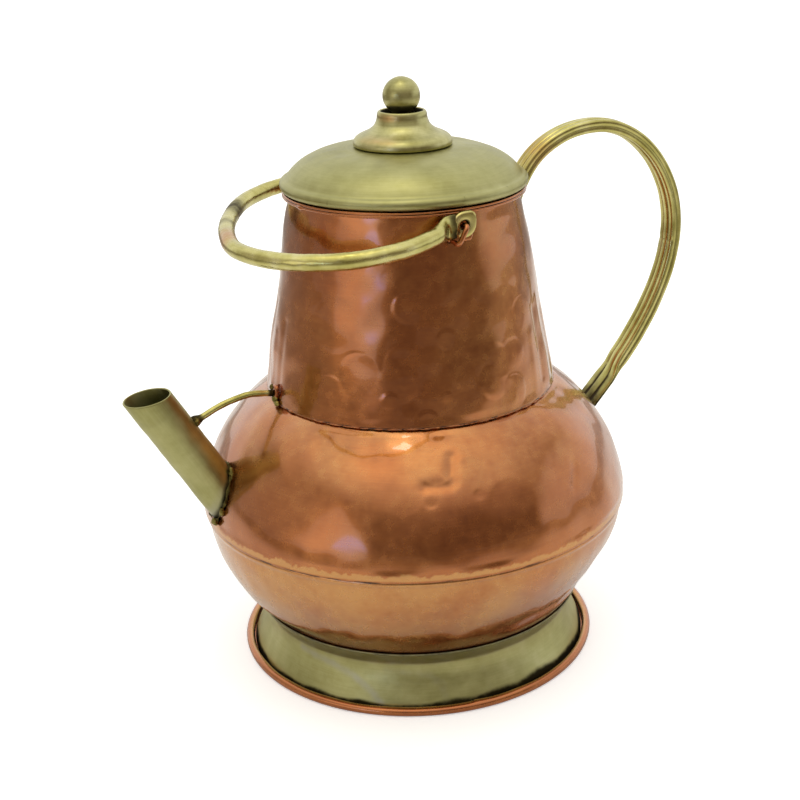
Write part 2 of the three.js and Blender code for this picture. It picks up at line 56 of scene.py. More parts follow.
# %% [markdown]
# ## Reading sizes from the frame
#
# A turned piece is known by its radii and heights. They could be typed in again, but then a change of the
# solid model would leave the surface behind. So the main ones are read from the solid's own corners, in
# millimetres.

# %% Sizes of the solids
def corners(node):
    """All corners of a solid as (radius from the axis, height), in mm."""
    place = np.array([v.co for v in cad[node].data.vertices]) / mm
    return np.hypot(place[:, 0], place[:, 1]), place[:, 2]


def top(node):
    return corners(node)[1].max()


def bottom(node):
    return corners(node)[1].min()


def reach(node, height=None):
    """Largest radius of a solid, or its largest radius within a millimetre of a height."""
    radius, z = corners(node)
    return radius.max() if height is None else radius[abs(z - height) < 1].max()


sheet = 0.9  # thickness of the copper and brass sheet
seat = 0.3  # clearance between pieces that touch
neck_foot, neck_top = bottom("neck_shell"), top("neck_shell")
neck_foot_radius, neck_top_radius = reach("neck_shell", neck_foot), reach("neck_shell", neck_top)
seam_height = bottom("belly_upper") + 0.1
belly_radius = reach("belly_upper")
pivot_height = frame["joints"][0]["pos_m"][2] / mm
print("neck from", round(neck_foot, 1), "to", round(neck_top, 1), "belly radius", round(belly_radius, 1))

# %% [markdown]
# ## The camera
#
# The jug was photographed from above the height of its lid with a short telephoto lens. The camera stands
# 24 degrees round from the jug's front, looks down by 19.5 degrees and is rolled a little. The lens is
# shifted, because the photograph is a crop of a wider frame.

# %% Camera
camera_place = np.array([-284.8, -630.0, 391.2]) * mm
camera_yaw, camera_pitch, camera_roll = np.radians([26.018, 19.499, -1.326])
focal_pixels, picture_side, sensor = 1423.3, 800, 36.0
centre_pixel = np.array([450, 370])


def new_object(name, data):
    made = bpy.data.objects.new(name, data)
    bpy.context.scene.collection.objects.link(made)
    return made


def stand(made, right, up, back, place):
    """Puts a camera or a lamp at a place in metres, with its own axes along three directions."""
    rows = np.eye(4)
    rows[:3] = np.column_stack([right, up, back, place])
    made.matrix_world = Matrix(rows.tolist())


level = np.array([math.cos(camera_yaw), -math.sin(camera_yaw), 0])
ahead = np.array([math.sin(camera_yaw) * math.cos(camera_pitch),
                  math.cos(camera_yaw) * math.cos(camera_pitch), -math.sin(camera_pitch)])
upright = np.cross(level, ahead)
across = math.cos(camera_roll) * level + math.sin(camera_roll) * upright
upward = math.cos(camera_roll) * upright - math.sin(camera_roll) * level
camera_data = bpy.data.cameras.new("camera")
camera_data.sensor_width = sensor
camera_data.lens = focal_pixels / picture_side * sensor
camera_data.shift_x = (picture_side / 2 - centre_pixel[0]) / picture_side
camera_data.shift_y = (centre_pixel[1] - picture_side / 2) / picture_side
camera = new_object("camera", camera_data)
bpy.context.scene.camera = camera
stand(camera, across, upward, -ahead, camera_place)

# %% [markdown]
# ## From a grid of points to a mesh
#
# Every piece here is made of closed surfaces with two parameters, such as how far along an outline and how
# far round. A grid of points holds both. It could be closed by hand for each piece. Instead one function
# turns any grid into faces, closes it, and turns the faces outwards by the sign of the volume that they
# enclose. Each point also carries values for the materials: "grain", the direction in which the metal was
# drawn, spun or rubbed, and shades such as "grime", which say where dirt has stayed and where shade is
# painted into the colour in seams, grooves and joints.

# %% Faces of a grid
def part(grid, ending, grain, **shades):
    """One closed surface of a piece. grid holds its points (rows, columns, 3) in mm. The columns go round
    and close. The rows close in a "loop" or with a fan to each of two "poles". grain has the grid's shape,
    and each shade has the shape (rows, columns) or one that numpy stretches to it."""
    return {"grid": grid, "ending": ending, "grain": grain, "shades": shades}


def faces_of(rows, columns, ending):
    """Quads between neighbours in the grid, and triangles that close it at two poles added at the end."""
    corner = np.arange(rows * columns).reshape(rows, columns)
    if ending == "loop":
        corner = np.vstack([corner, corner[:1]])
    beside = np.roll(corner, -1, axis=1)
    quads = np.stack([corner[:-1], beside[:-1], beside[1:], corner[1:]], axis=-1).reshape(-1, 4)
    if ending == "loop":
        return quads, np.empty((0, 3), int)
    first, last = np.full(columns, rows * columns), np.full(columns, rows * columns + 1)
    fans = [np.column_stack([first, beside[0], corner[0]]), np.column_stack([last, corner[-1], beside[-1]])]
    return quads, np.vstack(fans)


def with_poles(values, ending):
    """Values on a grid as one list. Poles, at its end, get the mean of the first row and of the last."""
    flat = values.reshape(-1, values.shape[-1])
    if ending == "loop":
        return flat
    return np.vstack([flat, values[0].mean(axis=0), values[-1].mean(axis=0)])


def signed_volume(points, quads, fans):
    """Volume inside the faces: the sum over all triangles of a . (b x c) / 6."""
    triangles = np.vstack([quads[:, :3], quads[:, [0, 2, 3]], fans])
    a, b, c = (points[triangles[:, k]] for k in range(3))
    return np.einsum("ij,ij->", a, np.cross(b, c)) / 6


# %% Mesh of a piece
sharp_angle = math.radians(40)


def piece(name, parts, body, stands_for=()):
    """Makes one mesh object from its parts, which rides on a body and stands for the solids it replaces."""
    points, loops, lengths, start = [], [], [], 0
    for made in parts:
        quads, fans = faces_of(*made["grid"].shape[:2], made["ending"])
        flat = with_poles(made["grid"], made["ending"])
        if signed_volume(flat, quads, fans) < 0:
            quads, fans = quads[:, ::-1], fans[:, ::-1]
        points.append(flat)
        loops += [quads.ravel() + start, fans.ravel() + start]
        lengths += [np.full(len(quads), 4), np.full(len(fans), 3)]
        start += len(flat)
    points, loops, lengths = np.vstack(points), np.concatenate(loops), np.concatenate(lengths)
    mesh = bpy.data.meshes.new(name)
    mesh.vertices.add(len(points))
    mesh.vertices.foreach_set("co", (points * mm).ravel())
    mesh.loops.add(len(loops))
    mesh.loops.foreach_set("vertex_index", loops)
    mesh.polygons.add(len(lengths))
    mesh.polygons.foreach_set("loop_start", np.cumsum(lengths) - lengths)
    mesh.update(calc_edges=True)
    grain = np.vstack([with_poles(made["grain"], made["ending"]) for made in parts]) * mm
    mesh.attributes.new("grain", "FLOAT_VECTOR", "POINT").data.foreach_set("vector", grain.ravel())
    for key in sorted({key for made in parts for key in made["shades"]}):
        shade = [with_poles(np.broadcast_to(made["shades"].get(key, 0.0), made["grid"].shape[:2])[..., None],
                            made["ending"]) for made in parts]
        mesh.attributes.new(key, "FLOAT", "POINT").data.foreach_set("value", np.vstack(shade).ravel())
    mesh.shade_smooth()
    mesh.set_sharp_from_angle(angle=sharp_angle)
    made = new_object(name, mesh)
    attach(made, body)
    if stands_for:
        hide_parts(*stands_for)
    print(f"{name}: {int((lengths - 2).sum())} triangles")
    return made


# %% [markdown]
# ## Turned sheet
#
# A spun or raised bowl is a sheet of even thickness turned round an axis. A Solidify modifier could give it
# its wall, but then the cut edges stay square. Here the outline is drawn once, on the outside. The inner
# wall is the same line moved along its normals, and the cut edges are half circles, because a filed edge
# catches a line of light. The inner wall shows little, so it keeps only some of the points.

# %% Curves in a plane
def bezier(points, count):
    """Points on the cubic (1-t)^3 a + 3(1-t)^2 t b + 3(1-t) t^2 c + t^3 d."""
    t = np.linspace(0, 1, count)[:, None]
    a, b, c, d = np.array(points, float)
    return (1 - t) ** 3 * a + 3 * (1 - t) ** 2 * t * b + 3 * (1 - t) * t**2 * c + t**3 * d


def run_of(line):
    """Length of a polyline up to each of its points."""
    return np.concatenate([[0], np.cumsum(np.linalg.norm(np.diff(line, axis=0), axis=1))])


def even(line, count, bite=0):
    """The same polyline with its points an equal distance apart, and a bite taken off each end."""
    run = run_of(line)
    at = np.linspace(bite, run[-1] - bite, count)
    return np.column_stack([np.interp(at, run, line[:, k]) for k in range(line.shape[1])])


def sides(line):
    """Unit normals to the left of a polyline, averaged at its corners."""
    step = np.diff(line, axis=0)
    left = np.column_stack([-step[:, 1], step[:, 0]])
    left /= np.linalg.norm(left, axis=1)[:, None]
    left = np.vstack([left[:1], left[:-1] + left[1:], left[-1:]])
    return left / np.linalg.norm(left, axis=1)[:, None]


# %% Soft steps and humps
def smooth(x, low, high):
    """0 below low, 1 above high, and an S-curve between."""
    t = np.clip((x - low) / (high - low), 0, 1)
    return t * t * (3 - 2 * t)


def plateau(x, low, full, drop, end):
    """0 below low, 1 from full to drop and 0 above end."""
    return smooth(x, low, full) * (1 - smooth(x, drop, end))


def hump(x, middle, width):
    return np.exp(-(((x - middle) / width) ** 2))


def signed_power(x, power):
    return np.sign(x) * abs(x) ** power


# %% Places round an axis
def round_angles(count):
    """Angles of the columns round the axis, as one row."""
    return np.linspace(0, 2 * np.pi, count, endpoint=False)[None, :]


def turn_from(angle, degrees):
    """Angle from a direction given in degrees, between -pi and pi."""
    return (angle - math.radians(degrees) + np.pi) % (2 * np.pi) - np.pi


def facing(angle, degrees):
    """1 in a direction given in degrees, and -1 on the far side."""
    return np.cos(angle - math.radians(degrees))


def stacked(*values):
    """Vectors from their three coordinates, each stretched to the same shape."""
    return np.stack(np.broadcast_arrays(*values), axis=-1)


def polar(radius, angle, height):
    return stacked(radius * np.cos(angle), radius * np.sin(angle), height)


# %% Outlines and turning
Outline = namedtuple("Outline", "points outward along")
edge_steps = 4
grain_stretch = 30  # a scratch is this much longer than it is wide


def sheet_outline(line, inner_step=1):
    """Closed outline of a sheet that lies to the left of a line: its points, the outward side at each, and
    how far along the line each one lies. The inner wall keeps every inner_step-th point."""
    left, run = sides(line), run_of(line)
    inner = np.unique(np.append(np.arange(0, len(line), inner_step), len(line) - 1))[::-1]
    turn = np.linspace(0, np.pi, edge_steps + 2)[1:-1, None]

    def edge(i, forward):
        """Half circle round the cut edge, from the outer wall to the inner one."""
        ahead_of = forward * np.array([left[i][1], -left[i][0]])
        return line[i] + sheet / 2 * (left[i] * (1 - np.cos(turn)) + ahead_of * np.sin(turn))

    points = np.vstack([line, edge(-1, 1), line[inner] + sheet * left[inner], edge(0, -1)[::-1]])
    ends = [np.repeat(left[k], edge_steps, 0) for k in (slice(-1, None), slice(0, 1))]
    outward = -np.vstack([left, ends[0], left[inner], ends[1]])
    along = np.concatenate([run, np.full(edge_steps, run[-1]), run[inner], np.zeros(edge_steps)])
    return Outline(points, outward, along)


def solid_outline(points):
    """Outline of a turned solid, whose grain follows the cuts of the lathe."""
    closed = np.vstack([points[-1:], points, points[:1]])
    return Outline(points, -sides(closed)[1:-1], run_of(points))


def lathe(outline, count, relief=0.0, **shades):
    """Turns an outline round Z. relief, in mm and of shape (outline, round), moves each point outwards."""
    relief = np.broadcast_to(relief, (len(outline.points), count))[..., None]
    radius, height = np.moveaxis(outline.points[:, None] + outline.outward[:, None] * relief, -1, 0)
    grid = polar(radius, round_angles(count), height)
    grain = stacked(outline.along[:, None], grid[..., 0] / grain_stretch, grid[..., 1] / grain_stretch)
    return part(grid, "loop", grain, **shades)


# %% [markdown]
# ## Hammer marks
#
# Copper is raised with hundreds of hammer blows and planished smooth afterwards. What stays is a slow
# unevenness of the wall and, where the last blows fell hard, shallow round dishes whose edges meet in
# crescents. A bump map could draw them, but the light on polished metal shows the difference, and an
# exported mesh has no bump. So each blow is a dish in the surface itself. Where two overlap the deeper one
# wins, which draws the crescent. Random blows fill the wall, and the ones that catch the light most are
# placed one by one.

# %% Uneven walls
def waves(angle, along, girth, size, height, seed, count=36):
    """Slow unevenness: cosines of random directions whose wavelengths lie near size, in mm. Each one has a
    whole number of waves round the girth, so that the wall closes."""
    rng = np.random.default_rng(seed)
    total = np.zeros(np.broadcast(angle, along).shape)
    for _ in range(count):
        turn, per_mm = rng.uniform(0, np.pi), rng.uniform(0.6, 1.4) / size
        total += np.cos(round(girth * per_mm * math.cos(turn)) * angle
                        + 2 * np.pi * per_mm * math.sin(turn) * along + rng.uniform(0, 2 * np.pi))
    return height * total / math.sqrt(count / 2)


def blows(angle, along, radius, marks, steep=2):
    """Depth of hammer blows in mm. A mark is (degrees round, mm along, width, depth, degrees of its sharp
    edge). With d the distance from its middle over its width and t that distance towards the sharp edge,
    the dish is depth * (1 - d^(2 steep)) * (1 + t) / 2, flat inside and steep at its edge. The deepest mark
    wins."""
    depth = np.zeros(np.broadcast(angle, along).shape)
    for at, up, width, deep, edge in marks:
        aside, above = radius * turn_from(angle, at) / width, (along - up) / width
        sharper = aside * math.cos(math.radians(edge)) + above * math.sin(math.radians(edge))
        dish = np.clip(1 - (aside**2 + above**2) ** steep, 0, 1) * np.clip(0.5 + 0.5 * sharper, 0, 1)
        depth = np.maximum(depth, deep * dish)
    return depth


def scattered(seed, count, low, high, width, deep):
    """Random marks between two places along the sheet."""
    rng = np.random.default_rng(seed)
    return [(rng.uniform(0, 360), rng.uniform(low, high), rng.uniform(0.6, 1.4) * width,
             rng.uniform(0.3, 1) * deep, rng.uniform(0, 360)) for _ in range(count)]


def trail(angle, along, radius, places, width):
    """Strength of a line drawn through places (degrees round, mm along): exp(-(d / width)^2), with d the
    distance to the nearest stretch of the line."""
    strength = np.zeros(np.broadcast(angle, along).shape)
    for (at, up), (to, on) in zip(places[:-1], places[1:]):
        aside, above = radius * turn_from(angle, at), along - up
        span, rise = radius * math.radians(to - at), on - up
        share = np.clip((aside * span + above * rise) / (span**2 + rise**2), 0, 1)
        away = (aside - share * span) ** 2 + (above - share * rise) ** 2
        strength = np.maximum(strength, np.exp(-away / width**2))
    return strength


def by_height(line, marks):
    """Marks whose second value is a height, with that value turned into the run along a rising line."""
    run = run_of(line)
    return [(at, float(np.interp(z, line[:, 1], run)), *rest) for at, z, *rest in marks]


class Wall:
    """A sheet turned from a line, and what is laid out on it: slow waves, which need its girth, hammer
    blows at a radius (its own where none is given), and trails at mark_radius."""

    def __init__(self, line, columns, girth, radius=None, mark_radius=None, inner_step=1):
        self.line, self.columns, self.girth, self.mark_radius = line, columns, girth, mark_radius
        self.outline, self.end = sheet_outline(line, inner_step), run_of(line)[-1]
        self.angle, self.run = round_angles(columns), self.outline.along[:, None]
        self.radius = self.outline.points[:, :1] if radius is None else radius

    def waves(self, size, height, seed):
        return waves(self.angle, self.run, self.girth, size, height, seed)

    def ripple(self, size, height, seed):
        """Waves round the axis alone, for a ragged edge."""
        return waves(self.angle, 0.0, self.girth, size, height, seed)

    def blows(self, marks, steep=2):
        return blows(self.angle, self.run, self.radius, marks, steep)

    def at_heights(self, marks):
        return by_height(self.line, marks)

    def trail(self, places, width, radius=None):
        """A trail through places given by their heights."""
        return trail(self.angle, self.run, radius or self.mark_radius, self.at_heights(places), width)

    def turned(self, relief, **shades):
        return lathe(self.outline, self.columns, relief, **shades)


# %% [markdown]
# ## Foot
#
# The foot is a copper disc whose edge is curled over a wire, and a brass skirt that stands inside the curl.
# The curl could be a torus set on a disc, but on the real foot it is the same sheet, so it is a circle
# carried on from the disc's own outline. At the front the curl's ends overlap. The groove behind the curl and
# the step of the overlap are darkened with painted shade, and the curl is painted lighter as a highlight.
# The skirt is drawn in to a waist, and its cuff follows the bowl that it holds.

# %% Foot disc
rim_wire = 1.0
curl_radius = rim_wire + seat + sheet
rim_middle = reach("base_plate") - curl_radius
curl_turn = np.radians(np.linspace(-90, 190, 40))
curl = np.column_stack([rim_middle + curl_radius * np.cos(curl_turn),
                        curl_radius + curl_radius * np.sin(curl_turn)])
disc_flat = np.column_stack([np.linspace(3, rim_middle - 2, 12), np.zeros(12)])
disc = Wall(np.vstack([disc_flat, curl]), columns=360, girth=570)
on_curl = smooth(disc.run, rim_middle + 2, rim_middle + 5)
overlap_at = -98  # degrees round of the step where the curl's ends overlap
overlap_height, overlap_fade = 0.45, 0.12
overlap = turn_from(disc.angle, overlap_at)
overlap_step = (overlap_height * smooth(overlap, -0.008, 0.008)
                * np.exp(-np.clip(overlap, 0, None) / overlap_fade))
curl_relief = on_curl * (overlap_step + disc.waves(30, 0.05, 41))
overlap_line = trail(disc.angle, 0, rim_middle, [(overlap_at, 0), (overlap_at + 0.1, 0)], 0.5)
# Painted shade in the groove behind the curl and along the step where its ends overlap
curl_painted_shade = np.maximum(smooth(disc.run, rim_middle + 7.2, rim_middle + 9), on_curl * overlap_line)
# The flush on the curl is a painted highlight
base_disc = piece("base_disc", [disc.turned(curl_relief, grime=curl_painted_shade, flush=0.8 * on_curl)],
                  "jug", ["base_plate"])

# %% Foot skirt
skirt_top, skirt_bottom = top("foot_skirt"), bottom("foot_skirt")
cuff_radius = reach("foot_skirt", skirt_top)
bowl_foot = np.array([cuff_radius - sheet - seat, skirt_top])
bowl_rise = np.array([9.6, 13.0])  # the way in which the bowl leaves the foot
bowl_way = bowl_rise / np.linalg.norm(bowl_rise)
skirt_foot = rim_middle - curl_radius - 0.4
waist = np.array([cuff_radius - 4.8, skirt_top - 8.8])
cuff_end = bowl_foot + (sheet + seat + 0.05) * np.array([bowl_way[1], -bowl_way[0]])
flare = bezier([[skirt_foot, skirt_bottom], [skirt_foot - 2.6, skirt_bottom + 7], waist - [0, 8], waist], 44)
cuff = bezier([waist, waist + [0, 2], cuff_end - 3.5 * bowl_way, cuff_end], 22)[1:]
skirt = Wall(np.vstack([flare, cuff]), columns=480, girth=540, radius=86, mark_radius=86, inner_step=3)
waist_run = run_of(flare)[-1]
skirt_relief = plateau(skirt.run, 0, 6, waist_run, waist_run + 3) * (
    skirt.waves(45, 0.16, 3) + skirt.waves(14, 0.03, 4) - skirt.blows(scattered(5, 24, 4, 22, 8, 0.25)))
streaks = [(0.6, 3.0, [(-161, 20), (-147, 18), (-139, 15), (-131, 9), (-127, 3)]),
           (0.4, 4.0, [(-126, 19), (-112, 17), (-107, 12), (-106, 4)])]
streaks += [(0.3, 4.0, [(at, 16), (at + 2, 3)]) for at in (-170, -92, -58, -30, 24, 71, 118, 165)]
skirt_stain = 0.55 * smooth(skirt.run, waist_run - 3, waist_run + 2)
for strength, width, places in streaks:
    skirt_stain = np.maximum(skirt_stain, strength * skirt.trail(places, width))
# Painted shade in the groove above the curl, wider towards one side, and in a band at the cuff under the
# bowl's overhang
groove_width = 2.4 + skirt.ripple(30, 1.1, 7) + 1.6 * (1 + facing(skirt.angle, -40))
skirt_painted_shade = np.maximum(1 - smooth(skirt.run, 0.3 * groove_width, groove_width + 1.5),
                         0.55 * smooth(skirt.run, skirt.end - 1.2, skirt.end - 0.2))
foot_skirt = piece("brass_skirt", [skirt.turned(skirt_relief, stain=skirt_stain, grime=skirt_painted_shade)],
                   "jug", ["foot_skirt"])

# %% [markdown]
# ## Belly
#
# Two bowls make the belly. The lower one has its own floor inside the skirt. The upper one, the shoulder,
# laps over its edge, so the seam shows as a thin dark step, which painted shade darkens further, and its own
# top edge turns up as a collar inside the neck. A single revolved shape would lose that seam, which is what
# tells how the jug was made.

# %% Outline of the neck and of the belly
neck_swell = 2.4  # four times the bulge of the neck between its ends
shoulder_rise, shoulder_sweep, shoulder_dip, bowl_drop = 22, 20.7, 9, 18
lap_radius, lap_height = belly_radius - sheet - seat, 5.5
collar_foot = neck_foot_radius - sheet - seat
joint_height = neck_foot - 0.7  # where the shoulder turns up into its collar


def neck_radius(z):
    """Outside of the neck: a straight taper with a slight bulge, s (1 - s) at the share s of its height."""
    share = (np.asarray(z, float) - neck_foot) / (neck_top - neck_foot)
    return neck_foot_radius + (neck_top_radius - neck_foot_radius) * share + neck_swell * share * (1 - share)


bowl = bezier([bowl_foot, bowl_foot + bowl_rise, [lap_radius + 0.4, seam_height - bowl_drop],
               [lap_radius, seam_height]], 90)
shoulder = bezier([[belly_radius, seam_height], [belly_radius, seam_height + shoulder_rise],
                   [collar_foot + shoulder_sweep, joint_height - shoulder_dip],
                   [collar_foot, joint_height]], 200)
shoulder = even(shoulder, 122)
belly_outline = np.vstack([bowl, shoulder])


def belly_at(z):
    """Outside radius of the belly at a height."""
    return np.interp(z, belly_outline[:, 1], belly_outline[:, 0])


# %% Lower bowl
floor_height, floor_radius = bottom("belly_lower"), 58
bowl_floor = np.column_stack([np.linspace(2, floor_radius, 10), np.full(10, floor_height)])
heel = bezier([[floor_radius, floor_height], [floor_radius + 12, floor_height], bowl_foot - 9 * bowl_way,
               bowl_foot], 24)[1:-1]
lap = np.array([[lap_radius - 0.6, seam_height + lap_height]])
lower = Wall(np.vstack([bowl_floor, heel, even(bowl, 90), lap]), columns=480, girth=2 * np.pi * belly_radius,
             radius=belly_radius, inner_step=5)
seam_run = lower.end - lap_height
bowl_run = seam_run - run_of(bowl)[-1]
lean_side, lean = 155.7, 1.7  # the bowl hangs over a little to the left of the picture
lower_relief = plateau(lower.run, bowl_run + 2, bowl_run + 14, seam_run - 8, seam_run - 1) * (
    lower.waves(70, 0.3, 11) + lower.waves(18, 0.05, 12)
    - lower.blows(scattered(13, 60, bowl_run + 6, seam_run - 4, 11, 0.07)))
lower_relief = lower_relief + lean * facing(lower.angle, lean_side) * plateau(
    lower.run, bowl_run + 2, bowl_run + 15, seam_run - 30, seam_run - 5)
lower_relief = lower_relief + 0.7 * hump(lower.run, seam_run - 1.7, 1.2)
# Painted shade where the bowl goes down into the skirt, and in the gap of the seam, broken into dashes
seam_breaks = np.clip(0.65 + lower.ripple(14, 0.5, 14), 0, 1)
lower_painted_shade = np.maximum(0.75 * (1 - smooth(lower.run, bowl_run + 0.3, bowl_run + 3)),
                         seam_breaks * smooth(lower.run, seam_run - 1.4, seam_run - 0.5))
# Painted reflection of the pale table: the bowl is coloured lighter and tan above its foot, most on the side
# that hangs over
lower_painted_reflection = smooth(lower.run, bowl_run + 7, bowl_run + 17) * (
    0.6 + 0.18 * facing(lower.angle, lean_side) + lower.waves(40, 0.08, 15))
belly_lower = piece("lower_bowl", [lower.turned(lower_relief, grime=lower_painted_shade, flush=lower_painted_reflection)],
                    "jug", ["belly_lower"])

# %% Shoulder bowl
collar_heights = np.linspace(neck_foot + 0.3, neck_foot + 5.6, 8)
collar = np.column_stack([neck_radius(collar_heights) - sheet - seat, collar_heights])
upper = Wall(np.vstack([shoulder[:-1], collar]), columns=640, girth=2 * np.pi * 100,
             mark_radius=104, inner_step=8)
upper_end = run_of(shoulder)[-1]
lap_band = 3.2  # the lap just above the seam, coloured lighter
upper_dishes = upper.at_heights([
    (-107.7, 130.9, 9, 0.6, -45), (-110, 117.5, 3.4, 0.35, -90), (-96.5, 118.4, 2.8, 0.3, 180),
    (-105.8, 140.2, 3.4, 0.35, 90), (-108.8, 137.2, 3.2, 0.3, 0), (-97, 126, 9, 0.35, 60),
    (-118, 122, 12, 0.25, 0), (-88, 112, 12, 0.25, 120), (-100, 108, 8, 0.25, -90),
    (-126, 128, 10, 0.2, 45), (-72, 127, 9, 0.25, 200)])
upper_marks = upper_dishes + scattered(21, 110, 8, upper_end - 6, 10, 0.08)
corner_dent = [(-102.4, 133.5), (-103.4, 124.5), (-104.6, 123.2), (-110.8, 123.4)]
slot_dent = [(-62.4, 117.2), (-65.8, 109.8)]
upper_relief = plateau(upper.run, lap_band - 0.6, lap_band + 3, upper_end - 5, upper_end - 1) * (
    upper.waves(60, 0.3, 5) + upper.waves(20, 0.07, 6) - upper.blows(upper_marks)
    - 0.9 * upper.trail(corner_dent, 2.9, 92) - 0.5 * upper.trail(slot_dent, 2.6, 100))
# Painted shade in the seam's gap along the lower edge and where the collar meets the neck; the smears are
# dirt
upper_shade_and_smears = 0.8 * np.clip(0.6 + upper.ripple(14, 0.5, 22), 0, 1) * (1 - smooth(upper.run, 0.1, 0.9))
upper_shade_and_smears = np.maximum(upper_shade_and_smears, 0.7 * smooth(upper.run, upper_end - 0.7, upper_end))
smears = [[(-78, 98), (-72, 96)], [(-60, 104), (-55, 99)], [(-48, 116), (-40, 112)], [(40, 110), (52, 106)],
          [(188, 122), (191, 112)]]
for smear in smears:
    upper_shade_and_smears = np.maximum(upper_shade_and_smears, 0.33 * upper.trail(smear, 3.0))
lap_edge = lap_band + upper.ripple(12, 0.5, 23) + upper.ripple(3, 0.35, 24)
# Painted highlight: the shoulder is coloured more golden towards the top, where it mirrors the warm light
# above
upper_painted_highlight = 0.14 + 0.24 * smooth(upper.run, 0.3 * upper_end, 0.8 * upper_end) + upper.waves(35, 0.05, 25)
upper_flush = np.maximum(0.85 * plateau(upper.run, 0.3, 0.9, lap_edge - 0.4, lap_edge + 0.5), upper_painted_highlight)
belly_upper = piece("shoulder_bowl", [upper.turned(upper_relief, grime=upper_shade_and_smears, flush=upper_flush)],
                    "jug", ["belly_upper"])

# %% [markdown]
# ## Neck
#
# The neck is a cone of copper over the shoulder's collar. It carries the hardest hammer marks of the jug,
# low on its front, and some upright folds where the sheet was drawn in, so its grid is the finest one. A
# ring of two copper wires stiffens its mouth, and a ragged line of solder closes it to the shoulder.

# %% Neck cone
neck_heights = np.linspace(neck_foot, neck_top, 166)
neck = Wall(np.column_stack([neck_radius(neck_heights), neck_heights]), columns=528, girth=2 * np.pi * 65,
            mark_radius=68, inner_step=14)
neck_knocks = neck.at_heights([  # blows from inside, which stand out and have a bright upper edge
    (-114.5, 200, 7.5, 0.36, 160), (-99.2, 184, 5, 0.3, 140), (-116.3, 174, 10, 0.3, 90),
    (-119, 165, 10, 0.36, 40), (-122.3, 156.5, 4.5, 0.4, 100), (-100.8, 157.2, 2.6, 0.25, 120),
    (-108.4, 147.2, 5, 0.36, 90), (-78.5, 172, 7, 0.32, 100), (-68.9, 171, 8, 0.3, 60),
    (-80, 161, 9, 0.4, 200), (-70.9, 153, 9, 0.45, 20), (-92, 168, 9, 0.3, 120),
    (-134, 168, 11, 0.25, 150), (-59, 188, 9, 0.25, 90), (-147, 158, 9, 0.25, 120),
    (24, 165, 8, 0.35, 100), (66, 178, 7, 0.3, 60), (110, 160, 9, 0.35, 140), (148, 172, 8, 0.3, 90)])
neck_dishes = neck.at_heights([
    (-80, 152.5, 12, 0.45, 0), (-81.5, 169, 11, 0.3, -90), (-136, 168, 12, 0.25, 45),
    (-146, 190, 14, 0.2, 180), (-70, 190, 14, 0.25, 0), (20, 160, 12, 0.5, 100), (64, 172, 9, 0.5, 30),
    (112, 158, 11, 0.5, 150), (150, 180, 12, 0.45, -60), (84, 150, 8, 0.45, 60), (176, 158, 10, 0.4, 200)])
folds = [  # degrees round, lower and upper height, depth
    (-36, 150, 182, 0.4), (-43, 146, 190, -0.35), (-49, 152, 186, 0.4), (-56, 148, 176, -0.25),
    (34, 150, 184, 0.3), (41, 148, 180, -0.3), (140, 150, 188, 0.3), (166, 150, 190, 0.35),
    (172, 147, 176, -0.3), (-179, 150, 184, 0.3)]
neck_relief = neck.waves(55, 0.26, 9) + neck.waves(17, 0.06, 10) + 0.85 * neck.blows(neck_knocks, 4)
neck_relief = neck_relief - neck.blows(neck_dishes + scattered(31, 130, 3, neck.end - 8, 9, 0.08))
# Painted shade in the seam at the neck's foot and under the mouth ring, with smudges of dirt above the seam
smudge_top = 2.0 + neck.ripple(9, 1.4, 32) + neck.ripple(40, 1.0, 33)
seam_dark = np.clip(0.7 + neck.ripple(7, 0.4, 34), 0.2, 1) * (1 - smooth(neck.run, 0.0, 0.45))
neck_shade_and_smudges = np.maximum(seam_dark, 0.5 * (1 - smooth(neck.run, 0.4, np.clip(smudge_top, 0.9, 7))))
neck_shade_and_smudges = np.maximum(neck_shade_and_smudges, 0.6 * smooth(neck.run, neck.end - 5, neck.end - 2))
# Each fold that is a dent is also painted darker along its hollow, as shade
for at, low, high, deep in folds:
    fold = [(at, low), (at + 1.5, high)]
    neck_relief = neck_relief - deep * neck.trail(fold, 2.6)
    neck_shade_and_smudges = np.maximum(neck_shade_and_smudges, 0.3 * (deep > 0) * neck.trail(fold, 2.2))
neck_relief = neck_relief * plateau(neck.run, 0.5, 5, neck.end - 10, neck.end - 3)
neck_flush = 0.1 + 0.28 * smooth(facing(neck.angle, -52), 0.3, 0.9) + neck.waves(30, 0.05, 35)
neck_shell = piece("neck_cone", [neck.turned(neck_relief, grime=neck_shade_and_smudges, flush=np.clip(neck_flush, 0, 1))],
                   "jug", ["neck_shell"])

# %% Ring of two wires round the mouth
ring_low, ring_high = bottom("neck_rim_band"), top("neck_rim_band")
ring_out, ring_in = reach("neck_rim_band"), corners("neck_rim_band")[0].min() + 0.02
ring_wire = (ring_high - ring_low) / 4
ring_turn = np.radians(np.linspace(-82, 82, 10))
ring_bow = np.column_stack([ring_out - ring_wire + ring_wire * np.cos(ring_turn),
                            ring_wire * np.sin(ring_turn)])
ring = solid_outline(np.vstack([[[ring_in, ring_low]], ring_bow + [0, ring_low + ring_wire],
                                ring_bow + [0, ring_high - ring_wire], [[ring_in, ring_high]]]))
ring_columns = 360
ring_angle = round_angles(ring_columns)
ring_end = turn_from(ring_angle, -168)  # the end of the lower wire stands off a little
ring_relief = 0.7 * plateau(ring_end, -0.1, -0.01, -0.01, 0.01) * (ring.points[:, 1:] < ring_low + 1.3)
ring_relief = ring_relief + waves(ring_angle, ring.along[:, None], 360, 40, 0.08, 51)
ring_relief = ring_relief * (ring.points[:, :1] > ring_in + 1)
